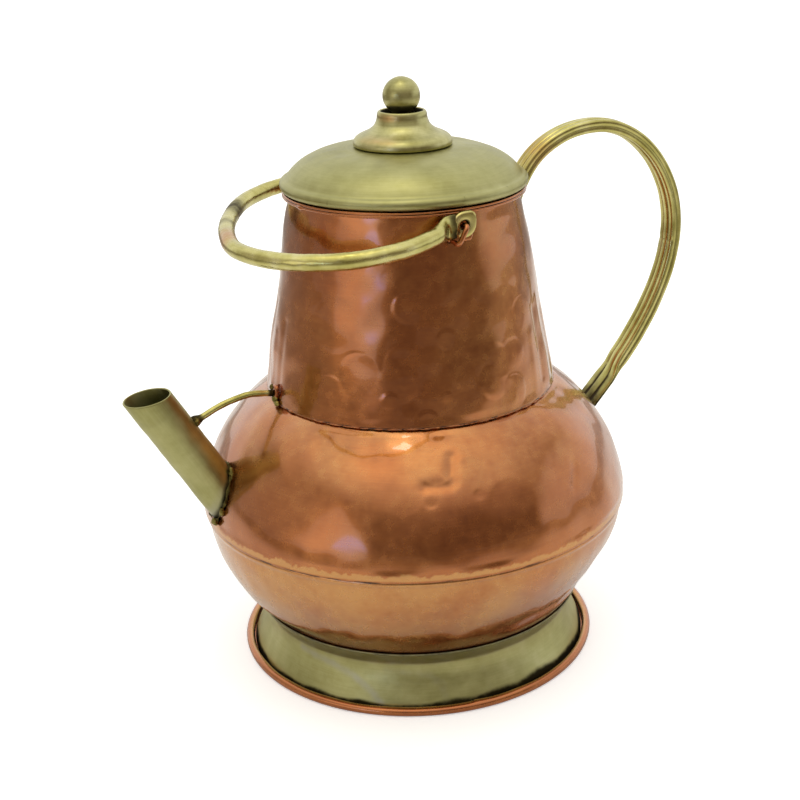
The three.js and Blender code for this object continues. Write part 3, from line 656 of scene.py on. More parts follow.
# Painted shade in the groove between the two wires
ring_groove_shade = hump(ring.points[:, 1:], (ring_low + ring_high) / 2, 0.25)
neck_rim = piece("mouth_ring", [lathe(ring, ring_columns, ring_relief, grime=ring_groove_shade)], "jug",
                 ["neck_rim_band"])

# %% [markdown]
# ## Spout
#
# The spout is a straight brass tube. Cutting it with a boolean would leave long thin triangles at the
# saddle, so every line along its wall starts where it meets the belly and ends in the plane of the mouth.
# The two ends are worked out for all lines at once: the belly end is the first point along each line that
# lies inside the belly, and the mouth end comes from the plane.

# %% Lines along the spout
spout_slope, spout_tilt = math.radians(60), math.radians(22)
spout_radius = 10.9
spout_mouth = np.array([-137.0, 0, 157.0])
spout_axis = np.array([-math.cos(spout_slope), 0, math.sin(spout_slope)])
spout_side = np.array([math.sin(spout_slope), 0, math.cos(spout_slope)])
sideways = np.array([0, 1.0, 0])
mouth_normal = spout_axis * math.cos(spout_tilt) + spout_side * math.sin(spout_tilt)


def off_axis(turn):
    """Unit vectors square to the spout's axis, at angles round it."""
    return np.cos(turn)[:, None] * spout_side + np.sin(turn)[:, None] * sideways


def tube_lines(radius, turn, clearance):
    """For lines along the spout's wall at the angles turn: their offset from its axis, and how far along
    the axis each one meets the belly and the mouth's plane, measured from the mouth's centre."""
    offset = radius[:, None] * off_axis(turn)
    heads = -(offset @ mouth_normal) / (spout_axis @ mouth_normal)
    run = np.linspace(0, -95, 3000)
    line = spout_mouth + offset[:, None, :] + run[None, :, None] * spout_axis
    inside = np.hypot(line[..., 0], line[..., 1]) < belly_at(line[..., 2]) + clearance
    return offset, run[np.argmax(inside, axis=1)], heads


def tube_wall(radius, turn, rows, clearance=0.1):
    """Grid (rows, lines) of one wall of the spout, and how far along the axis each of its points is."""
    offset, feet, heads = tube_lines(radius, turn, clearance)
    share = np.linspace(0, 1, rows)[:, None]
    run = feet * (1 - share) + heads * share
    return spout_mouth + offset + run[..., None] * spout_axis, run


# %% Tube of the spout
spout_columns, spout_rows, lip_rows = 108, 110, 3
spout_turn = round_angles(spout_columns)[0]
oval = spout_radius * (1 + 0.012 * np.cos(2 * spout_turn + 2.4))
tube_out, out_run = tube_wall(oval, spout_turn, spout_rows)
tube_in, in_run = tube_wall(oval - sheet, spout_turn, 12)
lip_turn = np.linspace(0, np.pi, lip_rows + 2)[1:-1, None, None]
tube_lip = ((tube_out[-1] + tube_in[-1]) / 2 + (tube_out[-1] - tube_in[-1]) / 2 * np.cos(lip_turn)
            + sheet / 2 * np.sin(lip_turn) * mouth_normal)
tube_run = np.concatenate([out_run, np.repeat(out_run[-1:], lip_rows, 0), in_run[::-1]])
tube_relief = waves(spout_turn, tube_run, 68, 30, 0.1, 61) + waves(spout_turn, tube_run, 68, 9, 0.03, 62)
tube_grid = np.concatenate([tube_out, tube_lip, tube_in[::-1]])
tube_grid = tube_grid + off_axis(spout_turn) * (tube_relief * smooth(-tube_run, 0, 6))[..., None]
tube_grain = polar(spout_radius, spout_turn, tube_run / grain_stretch)
above_foot = tube_run - out_run[:1]
# Darker towards the joint with the belly and in a band a little below the mouth; the inner wall is painted
# darker as shade
tube_dirt_and_shade = 0.9 * (1 - smooth(above_foot, 0.5, 7)) + 0.35 * hump(tube_run, -8, 5)
tube_dirt_and_shade[spout_rows + lip_rows:] = 0.45
tube_stain = 0.8 * (1 - smooth(above_foot, 2, 15)) * (0.5 - 0.5 * np.cos(spout_turn))
tube = part(tube_grid, "loop", tube_grain, grime=np.clip(tube_dirt_and_shade, 0, 1), stain=tube_stain)
spout = piece("spout_pipe", [tube], "jug", ["spout_tube"])

# %% [markdown]
# ## Carried sections
#
# The stay, the bail, the rear handle and the staples are sections carried along a curve. A curve object
# with a bevel could do that, but then neither the flattening at the ends nor the reeds of the handle could
# follow a formula. At each step one axis of the section points along a normal given for the whole curve,
# and the other lies across it.

# %% Carry a section along a curve
def circle(radius, count):
    return radius * polar(1, round_angles(count)[0], 0)[:, :2]


def carried(line, section, normal, wide=1.0, deep=1.0, lumps=0.0, **shades):
    """Part made by carrying a section along a line. wide and deep scale it at each step, and lumps, of shape
    (steps, section), moves its points outwards by a share of their distance from the line."""
    tangent = np.gradient(line, axis=0)
    tangent /= np.linalg.norm(tangent, axis=1)[:, None]
    side = np.broadcast_to(np.asarray(normal, float), line.shape)
    across_line = np.cross(tangent, side)
    across_line /= np.linalg.norm(across_line, axis=1)[:, None]
    swell = 1 + np.broadcast_to(lumps, (len(line), len(section)))
    one = section[None, :, 0] * np.broadcast_to(wide, len(line))[:, None] * swell
    two = section[None, :, 1] * np.broadcast_to(deep, len(line))[:, None] * swell
    grid = line[:, None] + one[..., None] * side[:, None] + two[..., None] * across_line[:, None]
    return part(grid, "poles", stacked(one, two, run_of(line)[:, None] / grain_stretch), **shades)


def through(points, per_piece=24):
    """Smooth curve through points: Catmull-Rom with knots spaced by the square root of the distances."""
    p = np.array(points, float)
    p = np.vstack([2 * p[0] - p[1], p, 2 * p[-1] - p[-2]])
    out = []
    for a, b, c, d in zip(p[:-3], p[1:-2], p[2:-1], p[3:]):
        gap = np.sqrt([np.linalg.norm(b - a), np.linalg.norm(c - b), np.linalg.norm(d - c)])
        leave = ((b - a) / gap[0] - (c - a) / (gap[0] + gap[1]) + (c - b) / gap[1]) * gap[1]
        arrive = ((c - b) / gap[1] - (d - b) / (gap[1] + gap[2]) + (d - c) / gap[2]) * gap[1]
        t = np.linspace(0, 1, per_piece, endpoint=False)[:, None]
        out.append((2 * t**3 - 3 * t**2 + 1) * b + (t**3 - 2 * t**2 + t) * leave
                   + (3 * t**2 - 2 * t**3) * c + (t**3 - t**2) * arrive)
    return np.vstack(out + [p[-2:-1]])


# %% [markdown]
# ## Bail
#
# The swinging handle is an 8 mm rod, bent by hand to a hoop that leans to the front ear. Its ends are
# hammered flat and drilled. The flat end is a ring of its own shape, a rounded section turned round the
# hole, and the rod starts inside its rim, so that the hole stays open for the staple.

# %% Bail
eye_span, eye_radius, eye_thickness, eye_hole = 64.0, 6.2, 3.4, 1.9
bail_rod, bail_reach, bail_half, bail_lean = 3.9, 97.0, 77.0, 28.0
tip_length, tip_turn = 1.4, 221  # the flat end is drawn out by this much, at degrees from the rod
droop = math.radians(4)
arm = np.array([-math.cos(droop), 0, -math.sin(droop)])
arm_normal = np.array([math.sin(droop), 0, -math.cos(droop)])
pivot = np.array([0, 0, pivot_height])
stations = np.array([  # share of the reach and share of the half width, from an eye to the middle
    [0, eye_span / bail_half], [0.09, (eye_span + 0.8) / bail_half], [0.21, 0.95], [0.42, 1.01],
    [0.66, 0.89], [0.84, 0.62], [0.95, 0.33]])


def on_bail(share, side):
    """Point of the hoop at a share of its reach. It leans to the front by the square of that share."""
    return pivot + share * bail_reach * arm + (side - bail_lean * share**2) * sideways


def eye(side):
    """Flattened end of the rod: a rounded section turned round the hole, with its tip drawn out."""
    turn, corner = round_angles(72).T, round_angles(28)
    squared = 0.7 * signed_power(np.cos(corner), 0.5) + 0.3 * np.cos(corner)
    flat = signed_power(np.sin(corner), 0.6)
    rim = eye_radius + tip_length * hump(turn_from(turn, tip_turn), 0, 0.45)
    radius = (rim + eye_hole) / 2 + (rim - eye_hole) / 2 * squared
    out = np.cos(turn)[..., None] * arm + np.sin(turn)[..., None] * arm_normal
    place = (pivot + (side * eye_span + eye_thickness / 2 * flat)[..., None] * sideways
             + radius[..., None] * out)
    return part(place, "loop", stacked(radius, 2.0 * flat, turn), grime=smooth(-squared, 0.2, 1), flush=0.35)


bail_front = [on_bail(r, -w * bail_half) for r, w in stations]
bail_back = [on_bail(r, w * bail_half) for r, w in stations][::-1]
bail_line = through(bail_front + [on_bail(1, 0)] + bail_back, 40)
bail_steps, bail_columns, eye_bite = 420, 40, 4.2  # the rod starts this far from the pivot
bail_length = run_of(bail_line)[-1]
kept = np.linspace(eye_bite, bail_length - eye_bite, bail_steps)[:, None]
from_end = np.minimum(kept, bail_length - kept)
bail_round = smooth(from_end[:, 0], 8, 22)
bail_wide = (eye_radius - 0.4) / bail_rod * (1 - bail_round) + bail_round
bail_deep = (eye_thickness / 2 - 0.1) / bail_rod * (1 - bail_round) + bail_round
bail_turn = round_angles(bail_columns)
bail_lumps = waves(bail_turn, kept, 24, 14, 0.008, 71) + waves(bail_turn, kept, 24, 4, 0.006, 72)
pitted = hump(kept, 205, 16) + 0.7 * hump(kept, 176, 8)
bail_grime = np.clip(0.75 * pitted + 0.8 * (1 - smooth(from_end, 5, 12)), 0, 1)
hoop = carried(even(bail_line, bail_steps, eye_bite), circle(bail_rod, bail_columns), arm_normal, bail_wide,
               bail_deep, bail_lumps, grime=bail_grime, flush=0.8 * hump(kept, 150, 14))
bail = piece("bail_hoop", [hoop, eye(-1), eye(1)], "bail", ["bail"])

# %% [markdown]
# ## Ears
#
# On each side a plate is soldered to the neck, and a staple of copper wire goes through the eye of the
# bail. The plate is a little cushion bent round the cone: a squared circle for its outline, and a row of
# points for each step from its middle over its rounded edge down to the neck. The staple's path is a U with
# round corners.

# %% Ear plates
plate_side, plate_thickness = 13.0, 2.2
plate_middle = pivot_height - 2.6
cushion_rows = np.array([  # share of the outline and share of the thickness, from the middle over the edge
    [0.2, 1.0], [0.45, 1.0], [0.7, 0.98], [0.86, 0.95], [0.93, 0.86], [0.975, 0.68], [1.0, 0.45], [1.0, 0.2],
    [0.995, 0.05], [0.97, 0.0], [0.8, 0.0], [0.45, 0.0], [0.2, 0.0]])
out_share, lift_share = cushion_rows[:, :1], cushion_rows[:, 1:]


def squared_circle(count, power, wide, high):
    """Outline between an ellipse, at the power 1, and a rectangle, at the power 0."""
    return signed_power(circle(1, count), power) * [wide / 2, high / 2]


def cushion(outline, facing_turn, middle, thickness, uneven=0.0, seed=0):
    """Cushion bent round the neck: its grid, and how far aside, above and off the neck its points are."""
    aside, above = np.moveaxis(out_share[..., None] * outline, -1, 0)
    lift = lift_share * (thickness + waves(aside / 8, above, 50, 8, uneven, seed))
    radius = neck_radius(middle + above) + seat + lift
    return polar(radius, facing_turn + aside / neck_radius(middle), middle + above), aside, above, lift


def ear_plate(side, seed):
    rough = 1 + waves(round_angles(72)[0], 0.0, 50, 9, 0.03, seed)
    outline = squared_circle(72, 0.4, plate_side, plate_side) * rough[:, None]
    grid, aside, above, lift = cushion(outline, side * np.pi / 2, plate_middle, plate_thickness,
                                       0.12, seed + 1)
    near_edge = smooth(out_share, 0.55, 0.93) * (lift_share > 0.9) + (lift_share < 0.5)
    return part(grid, "poles", stacked(above, aside / grain_stretch, lift), grime=0.55 * near_edge)


# %% Staples
staple_wire, staple_side, staple_bend, staple_columns = 1.25, 5.0, 2.4, 18
staple_out = eye_span + eye_thickness / 2 + staple_wire + 1.4
leg_step = (eye_radius + staple_wire + seat) * arm_normal + staple_side * arm
leg_length = np.linalg.norm(leg_step)
leg_down = leg_step / leg_length


def staple(side, seed):
    """Wire from the neck through the eye, round two corners and back below the arm. Each corner is a
    quadratic curve (1-t)^2 a + 2(1-t) t b + t^2 c."""
    inner = neck_radius(pivot_height) + seat + 0.4

    def at(y, down):
        return pivot + side * y * sideways + down * leg_down

    def corner(a, b, c):
        t = np.linspace(0, 1, 12)[:, None]
        return (1 - t) ** 2 * a + 2 * (1 - t) * t * b + t**2 * c

    path = np.vstack([
        at(inner, 0), corner(at(staple_out - staple_bend, 0), at(staple_out, 0), at(staple_out, staple_bend)),
        corner(at(staple_out, leg_length - staple_bend), at(staple_out, leg_length),
               at(staple_out - staple_bend, leg_length)), at(inner + 1.2, leg_length)])
    line = even(path, 90)
    run = run_of(line)[:, None]
    lumps = waves(round_angles(staple_columns), run, 8, 5, 0.03, seed)
    ends = 1 - smooth(np.minimum(run, run[::-1]), 1.5, 4)
    return carried(line, circle(staple_wire, staple_columns), np.cross(leg_down, sideways), lumps=lumps,
                   grime=0.8 * ends)


ears = [piece(f"{side_name}_ear_{kind}", [make(side, seed)], "jug", [f"ear_{kind}_{side_name}"])
        for side_name, side, seed in (("front", -1, 81), ("back", 1, 85))
        for kind, make in (("plate", ear_plate), ("staple", staple))]

# %% [markdown]
# ## Rear handle
#
# The fixed handle is a drawn brass bar with six round reeds. It is hammered flat to a tab where it is
# soldered to the neck, and to a wider blade that stands on the shoulder. Each reed is a cubic curve between
# two grooves, and how deep a point lies in its groove goes to the material, which darkens the grooves.

# %% Section of the handle
reed_steps = 12
reeds = [[[0.88, 0], [1.08, 0.75], [0.8, 1.18], [0.33, 0.86]],
         [[0.33, 0.86], [0.2, 1.14], [-0.2, 1.14], [-0.33, 0.86]],
         [[-0.33, 0.86], [-0.8, 1.18], [-1.08, 0.75], [-0.88, 0]]]
reed_half = np.vstack([bezier(reed, reed_steps + 1)[:-1] for reed in reeds])
reed_section = np.vstack([reed_half, -reed_half])
reed_place = np.tile(np.arange(reed_steps) / reed_steps, 2 * len(reeds))
groove_depth = 0.65 * abs(2 * reed_place[None] - 1) ** 7

# %% Rear handle
handle_wide, handle_deep, handle_taper = 12.6 / 2, 6.9 / 2, 0.08
tab_low, tab_high, tab_half = 211.0, 226.0, 1.2
handle_top, handle_out = np.array([107.8, 0, 262.9]), np.array([159.4, 0, 205.0])
root_height, root_stand, root_slope = 113.8, 9.1, math.radians(46)
root_sink = 9.1  # the blade runs on past the root by this much, until it stands in the shoulder's surface
blade_length = 15.5  # and starts this far above the root
handle_root = np.array([belly_at(root_height) + root_stand, 0, root_height])
into_belly = np.array([-math.cos(root_slope), 0, -math.sin(root_slope)])


def on_neck(z):
    return np.array([neck_radius(z) + seat + tab_half + 0.2, 0, z])


tab = on_neck(tab_high)
handle_curves = [
    np.linspace(on_neck(tab_low), tab, 12),
    bezier([tab, tab + [0, 0, 14.4], handle_top - [32, 0, 0], handle_top], 60)[1:],
    bezier([handle_top, handle_top + [29, 0, 0], handle_out + [0, 0, 28.3], handle_out], 60)[1:],
    bezier([handle_out, handle_out - [0, 0, 38], handle_root - 26 * into_belly, handle_root], 70)[1:],
    np.linspace(handle_root, handle_root + root_sink * into_belly, 8)[2:]]
handle_line = even(np.vstack(handle_curves), 420)
handle_run = run_of(handle_line)
tab_end, foot_start = tab_high - tab_low, handle_run[-1] - root_sink - blade_length
leaving = smooth(handle_run, tab_end * 0.9, tab_end * 2)
arriving = smooth(handle_run, foot_start - 12, foot_start + 4)
blade = smooth(handle_run, foot_start - 6, foot_start + 5)
full = leaving * (1 - arriving)
handle_wider = (1 + 0.1 * (1 - leaving) + 0.34 * blade) * (
    1 - handle_taper + 2 * handle_taper * handle_run / handle_run[-1])
handle_deeper = tab_half / handle_deep * (1 - full) + full
handle_along = handle_run[:, None]
reed_turn = round_angles(len(reed_section))
nick = 0.05 * hump(handle_along, 176, 1.6) * (np.sin(reed_turn) < -0.3)  # a knock on the outer side
handle_lumps = waves(reed_turn, handle_along, 30, 22, 0.006, 91) - nick
# Painted shade on the blade, which is coloured darker as a face in shadow; the grooves darken towards it, and
# the end at the neck is darker too
handle_painted_shade = np.clip(0.9 * arriving[:, None] * smooth(groove_depth, 0.0, 0.5) + 0.5 * blade[:, None]
                       + 0.4 * smooth(handle_along, foot_start + 8, handle_run[-1])
                       + 0.8 * (1 - smooth(handle_along, 2, 9)), 0, 1)
bar = carried(handle_line, reed_section * [handle_wide, handle_deep], sideways, handle_wider, handle_deeper,
              handle_lumps, groove=groove_depth, grime=handle_painted_shade, flush=0.5 * hump(handle_along, 45, 16))
rear_handle = piece("reeded_handle", [bar], "jug", ["rear_handle"])

# %% [markdown]
# ## Stay
#
# A thin rod ties the spout to the foot of the neck. At the spout it stands on a lump of solder, and at the
# neck it is held by a small copper tab under more solder.

# %% Stay and its tab
stay_rod, stay_flare, stay_crest, stay_columns = 1.6, 1.8, 1.4, 24
stay_foot_height, clip_lift, clip_height, clip_width, clip_thickness = 141.0, 1.4, 8.0, 6.0, 1.6
stay_top_height = joint_height + clip_lift + clip_height / 2
clip_face = -(neck_radius(stay_top_height) + seat + clip_thickness)
spout_there = spout_mouth[0] + (spout_mouth[2] - stay_foot_height) / math.tan(spout_slope)
stay_foot = spout_there + spout_radius / math.sin(spout_slope)
span = clip_face - stay_foot
stay_line = even(through([
    [stay_foot - 0.6, 0, stay_foot_height - 0.3], [stay_foot + 1.5, 0, stay_foot_height + 0.5],
    [stay_foot + span * 0.36, 0, stay_top_height - 1.3],
    [stay_foot + span * 0.7, 0, stay_top_height + stay_crest],
    [clip_face - seat, 0, stay_top_height]]), 110)
stay_run = run_of(stay_line)
stay_swell = stay_flare + (1 - stay_flare) * smooth(stay_run, 0.8, 5)
stay_lumps = waves(round_angles(stay_columns), stay_run[:, None], 9, 8, 0.02, 95)
stay_grime = np.clip(1 - smooth(stay_run, 3, 8)
                     + 0.9 * smooth(stay_run, stay_run[-1] - 5, stay_run[-1] - 1), 0, 1)
rod = carried(stay_line, circle(stay_rod, stay_columns), sideways, stay_swell, stay_swell, stay_lumps,
              grime=stay_grime[:, None])
stay = piece("stay_rod", [rod], "jug", ["spout_stay"])

clip_outline = squared_circle(48, 0.6, clip_width, clip_height)
clip_grid, clip_aside, clip_above, _ = cushion(clip_outline, np.pi, stay_top_height, clip_thickness)
clip_grain = stacked(clip_above, clip_aside, np.hypot(clip_grid[..., 0], clip_grid[..., 1]))
stay_tab = piece("stay_tab", [part(clip_grid, "poles", clip_grain, grime=0.4 * (out_share > 0.9))],
                 "jug", ["stay_clip"])

# %% [markdown]
# ## Solder
#
# Soft solder was run into every joint and only roughly cleaned off, and the lacquer has gone dark over it.
# Each bead is a round section carried along the joint, whose thickness wanders, and single drops stand
# where the joint starts or ends. Without them the pieces would look as if they were glued on.

# %% Beads and drops of solder
def bead(line, thickness, wander, seed, count=12, dirt_and_shade=0.0):
    """Closed bead of solder along a closed line. Its thickness wanders by the given share."""
    turn, section = round_angles(len(line)).T, round_angles(count)
    tangent = np.roll(line, -1, axis=0) - np.roll(line, 1, axis=0)
    tangent /= np.linalg.norm(tangent, axis=1)[:, None]
    out = line - line.mean(axis=0)
    out -= (out * tangent).sum(axis=1)[:, None] * tangent
    out /= np.linalg.norm(out, axis=1)[:, None]
    length = run_of(line)[-1]
    uneven = (waves(turn, 2 * np.cos(section), length, 7, wander, seed)
              + waves(turn, 2 * np.sin(section), length, 2.5, 0.4 * wander, seed + 1))
    radius = thickness * np.clip(1 + uneven, 0.35, 2.2)
    grid = (line[:, None] + (radius * np.cos(section))[..., None] * out[:, None]
            + (radius * np.sin(section))[..., None] * np.cross(tangent, out)[:, None])
    return part(grid, "loop", grid, grime=dirt_and_shade)


def drop(middle, sizes, seed):
    """A drop of solder: a ball flattened to three half sizes, with a wandering surface."""
    high, turn = np.linspace(0.12, np.pi - 0.12, 22)[:, None], round_angles(32)
    rough = 1 + waves(turn, 4 * np.cos(high), 12, 4, 0.08, seed) * np.sin(high)
    grid = np.array(middle) + polar(np.sin(high), turn, np.cos(high)) * rough[..., None] * np.array(sizes)
    return part(grid, "poles", grid)


joint_steps = 160
root_offset, root_feet, _ = tube_lines(np.full(joint_steps, spout_radius + 0.4),
                                       round_angles(joint_steps)[0], 0.5)
spout_joint = spout_mouth + root_offset + root_feet[:, None] * spout_axis


def joint_at(degrees, out):
    """Point of the spout's joint at an angle round the spout, moved away from its axis."""
    i = int(round(degrees / 360 * joint_steps)) % joint_steps
    return spout_joint[i] + out * root_offset[i] / np.linalg.norm(root_offset[i])


neck_joint = polar(neck_radius(neck_foot) - 0.1, round_angles(720)[0], neck_foot - 0.2)
stay_start, stay_end = [stay_foot, 0, stay_foot_height], [clip_face, 0, stay_top_height]
handle_foot = handle_line[-1]
spout_drops = [(joint_at(-35, 0.6), (1.5, 1.6, 2.8), 105), (joint_at(-120, 0.5), (1.3, 1.5, 2.2), 106),
               (joint_at(200, 0.6), (1.8, 2.2, 2.0), 107), (joint_at(40, 0.6), (1.6, 1.8, 2.2), 108)]
stay_drops = [(np.add(stay_start, [0.4, -0.4, 0.2]), (2.4, 2.9, 2.5), 111),
              (np.add(stay_end, [0.5, -1.2, -2.6]), (1.5, 2.3, 1.9), 112),
              (np.add(stay_end, [0.4, -3.6, -4.4]), (1.3, 2.0, 1.5), 113),
              (np.add(stay_end, [0.6, 2.4, 2.2]), (1.2, 1.8, 1.6), 114)]
handle_drops = [(handle_foot + [0.9, -1.0, -0.6], (1.4, 6.6, 1.4), 116),
                (handle_foot + [0.6, 6.2, 0.2], (1.5, 1.5, 1.5), 117),
                (handle_foot + [-0.9, 0.6, 1.0], (1.3, 6.4, 1.3), 118),
                (on_neck(tab_low) + [-0.3, 0, -0.5], (1.3, 5.2, 1.4), 119)]
solder_neck = piece("solder_at_neck", [bead(neck_joint, 0.26, 0.5, 101, dirt_and_shade=0.4)], "jug")
solder_spout = piece("solder_at_spout", [bead(spout_joint, 0.6, 0.5, 103, 14, dirt_and_shade=0.6)]
                     + [drop(*values) for values in spout_drops], "jug")
solder_stay = piece("solder_at_stay", [drop(*values) for values in stay_drops], "jug")
solder_handle = piece("solder_at_handle", [drop(*values) for values in handle_drops], "jug")

# %% [markdown]
# ## Lid
#
# The lid is spun from brass over a wooden former: a dome with a curled edge and a crease above the curl. A
# sleeve under it guides it in the neck. The boss is turned with steps that catch lines of light, and the
# ball stands in its cup on a stud with a washer and a nut below the dome.

# %% Dome
lid_radius, lid_rest, lid_crown = reach("lid_dome"), bottom("lid_dome"), top("lid_dome")
lid_curl = 2.7
crease = np.array([57.6, 250.4])
boss_foot_radius = reach("lid_boss")
flat_radius = boss_foot_radius + 1
lid_roll = np.radians(np.linspace(-150, 62, 34))
roll_line = np.column_stack([lid_radius - lid_curl + lid_curl * np.cos(lid_roll),
                             lid_rest + lid_curl + lid_curl * np.sin(lid_roll)])
valley = bezier([roll_line[-1], roll_line[-1] + [-0.9, 0.5], crease + [0.9, -1.0], crease], 8)[1:]
crown = bezier([crease, crease + [-5.5, 7.6], [flat_radius + 16.5, lid_crown - sheet],
                [flat_radius, lid_crown]], 80)[1:]
lid_flat = np.column_stack([np.linspace(flat_radius, 3.2, 8)[1:], np.full(7, lid_crown)])
dome = Wall(np.vstack([roll_line, valley, crown, lid_flat]), columns=420, girth=340, radius=48, inner_step=2)
crease_run = run_of(np.vstack([roll_line, valley]))[-1]
dome_relief = plateau(dome.run, 4, 12, crease_run + 30, crease_run + 37) * (
    dome.waves(50, 0.12, 121) + dome.waves(12, 0.02, 122)
    - dome.blows(scattered(123, 26, crease_run + 3, crease_run + 34, 7, 0.12)))
# Painted shade under the curl, in the crease and round the foot of the boss; the specks are dirt
dome_shade_and_specks = np.maximum(0.3 * hump(dome.run, crease_run, 1.0), 0.8 * (1 - smooth(dome.run, 3, 6)))
dome_shade_and_specks = np.maximum(dome_shade_and_specks, 0.3 * hump(dome.run, crease_run + 36.5, 1.6))
specks = by_height(roll_line, [(-150, 246.2), (-88, 246.6), (-61, 249.2), (35, 247), (128, 246)])
for at, run in specks:
    speck = trail(dome.angle, dome.run, 59, [(at, run), (at + 0.6, crease_run - 3)], 0.6)
    dome_shade_and_specks = np.maximum(dome_shade_and_specks, 0.6 * speck)
lid_dome = piece("lid_dome_spun", [dome.turned(dome_relief, grime=dome_shade_and_specks)], "lid", ["lid_dome"])

# %% Sleeve
sleeve_heights = np.linspace(bottom("lid_sleeve") + 0.4, top("lid_sleeve"), 12)
sleeve = Wall(np.column_stack([np.full(12, reach("lid_sleeve")), sleeve_heights]), columns=240, girth=335,
              inner_step=4)
lid_sleeve = piece("lid_sleeve_ring", [sleeve.turned(sleeve.waves(50, 0.08, 131), grime=0.3)], "lid",
                   ["lid_sleeve"])

# %% Boss
boss_low, boss_bore, boss_columns = bottom("lid_boss"), 2.9, 200
boss_knots = np.array([
    [boss_foot_radius - 1.3, 0], [boss_foot_radius - 0.5, 0.4], [boss_foot_radius - 0.3, 1.4],
    [boss_foot_radius - 0.6, 2.8], [boss_foot_radius - 1.6, 4.2], [boss_foot_radius - 3.2, 5.3], [18.9, 6.4],
    [16.6, 7.5], [14.7, 8.9], [13.4, 10.4], [12.8, 11.8], [12.3, 13.4], [12.1, 15.2],
    [11.6, 16.4], [10.9, 16.7], [10.3, 16.2], [9.9, 15.0], [9.8, 12.6]])
boss_side = through(boss_knots + [0, boss_low], 6)
boss = solid_outline(np.vstack([[[boss_bore, boss_low]], boss_side, [[boss_bore, boss_low + 12.3]]]))
boss_high = boss.points[:, 1:] - boss_low
# Painted shade where the boss meets the dome, in the groove of its step and inside the cup under the ball
boss_painted_shade = (0.35 * (boss_high < 0.5) + 0.3 * hump(boss_high, 3.9, 0.45)
              + (boss.points[:, :1] < 10.4) * (boss_high > 11))
boss_flush = (0.6 * hump(boss_high, 14.4, 2.6) + 0.45 * hump(boss_high, 5, 2.5)) * (
    0.4 + 0.6 * facing(2 * round_angles(boss_columns), 60))
lid_boss = piece("lid_boss_turned", [lathe(boss, boss_columns, grime=np.clip(boss_painted_shade, 0, 1),
                                           flush=np.clip(boss_flush, 0, 1))], "lid", ["lid_boss"])

# %% Ball
ball_radius = reach("knob_ball")
ball_middle = top("knob_ball") - ball_radius
ball_rise, ball_turn = np.linspace(np.pi / 2 - 0.03, -np.pi / 2 + 0.25, 64)[:, None], round_angles(112)
ball_out = ball_radius - 0.08 + waves(ball_turn, ball_radius * ball_rise, 56, 12, 0.04, 141)
ball_grid = polar(ball_out * np.cos(ball_rise), ball_turn, ball_middle + ball_out * np.sin(ball_rise))
ball_grain = ball_grid[..., [2, 0, 1]] / [1, grain_stretch, grain_stretch]
ball_flush = np.clip(0.65 * smooth(facing(ball_turn, 66), -0.1, 0.8) + 0.2, 0, 1) * np.cos(ball_rise) ** 2
# The ball's underside, down in the cup, is painted darker as shade
knob = piece("knob_ball_turned", [part(ball_grid, "poles", ball_grain, flush=ball_flush,
                                       grime=smooth(-ball_rise, 0.8, 1.2))], "lid", ["knob_ball"])

# %% [markdown]
# ## Colours and shader nodes
#
# A colour picked from a swatch is in sRGB, and the shader works with linear light, so one function converts
# it. Another one adds a node with its settings and links, which keeps each material short enough to read as
# a recipe.

# %% Helpers for materials
def linear(code):
    """sRGB hex to linear: c / 12.92 below 0.04045, else ((c + 0.055) / 1.055) ^ 2.4."""
    values = [int(code[i : i + 2], 16) / 255 for i in (1, 3, 5)]
    return [v / 12.92 if v <= 0.04045 else ((v + 0.055) / 1.055) ** 2.4 for v in values] + [1.0]


def add(tree, kind, settings=None, inputs=None, out=0):
    """Adds a node, sets its properties and sockets, and returns one output. An input that is a socket is
    linked. stops among the settings are the colour stops of a ramp, as (place, hex)."""
    made = tree.nodes.new("ShaderNode" + kind)
    for key, value in (settings or {}).items():
        if key == "stops":
            ramp = made.color_ramp
            while len(ramp.elements) < len(value):
                ramp.elements.new(0.5)
            for element, (place, colour) in zip(ramp.elements, value):
                element.position = place
                element.color = linear(colour)
        else:
            setattr(made, key, value)
    for key, value in (inputs or {}).items():
        if isinstance(value, bpy.types.NodeSocket):
            tree.links.new(value, made.inputs[key])
        else:
            made.inputs[key].default_value = value
    return made.outputs[out]


def worked_out(tree, operation, *values):
    return add(tree, "Math", {"operation": operation}, dict(enumerate(values)))


def mixed(tree, share, one, other):
    """The one colour where share is 0, and the other where it is 1."""
    return add(tree, "Mix", {"data_type": "RGBA"}, {0: share, 6: one, 7: other}, out=2)


def ranged(tree, value, low, high, to_low=0.0, to_high=1.0, kind="SMOOTHSTEP"):
    return add(tree, "MapRange", {"interpolation_type": kind},
               {"Value": value, "From Min": low, "From Max": high, "To Min": to_low, "To Max": to_high})


def new_material(name, metallic, roughness, **sockets):
    """A material with a Principled shader: the material, its tree and the shader."""
    material = bpy.data.materials.new(name)
    material.use_nodes = True
    shader = material.node_tree.nodes["Principled BSDF"]
    for key, value in {"Metallic": metallic, "Roughness": roughness, **sockets}.items():
        shader.inputs[key.replace("_", " ")].default_value = value
    return material, material.node_tree, shader


def dress(material, *objects):
    for obj in objects:
        obj.data.materials.clear()
        obj.data.materials.append(material)


# %% [markdown]
# ## Metals
#
# Every metal here is the same recipe with other numbers, so one function makes them all. The colour wanders
# between a few tones in clouds some centimetres across, with a finer mottle from handling. Fine scratches
# follow the grain, and show as thin light and dark lines and as a slight bump. Dirt, oxide and painted shade
# in seams, grooves and joints come last, and are rougher. A lighter flush, which on some pieces is a painted
# highlight or a painted reflection, comes with them. They sit where the shades say, and a noise makes their
# edges ragged, so that no border shows where a shade ends.

# %% A worn metal
mottle_size = 6
mottle_weight, brush_weight = 0.4, 0.3  # against 1 for the clouds
whole_weight = 1 + mottle_weight + brush_weight
dirt_and_shade_roughness = 0.6


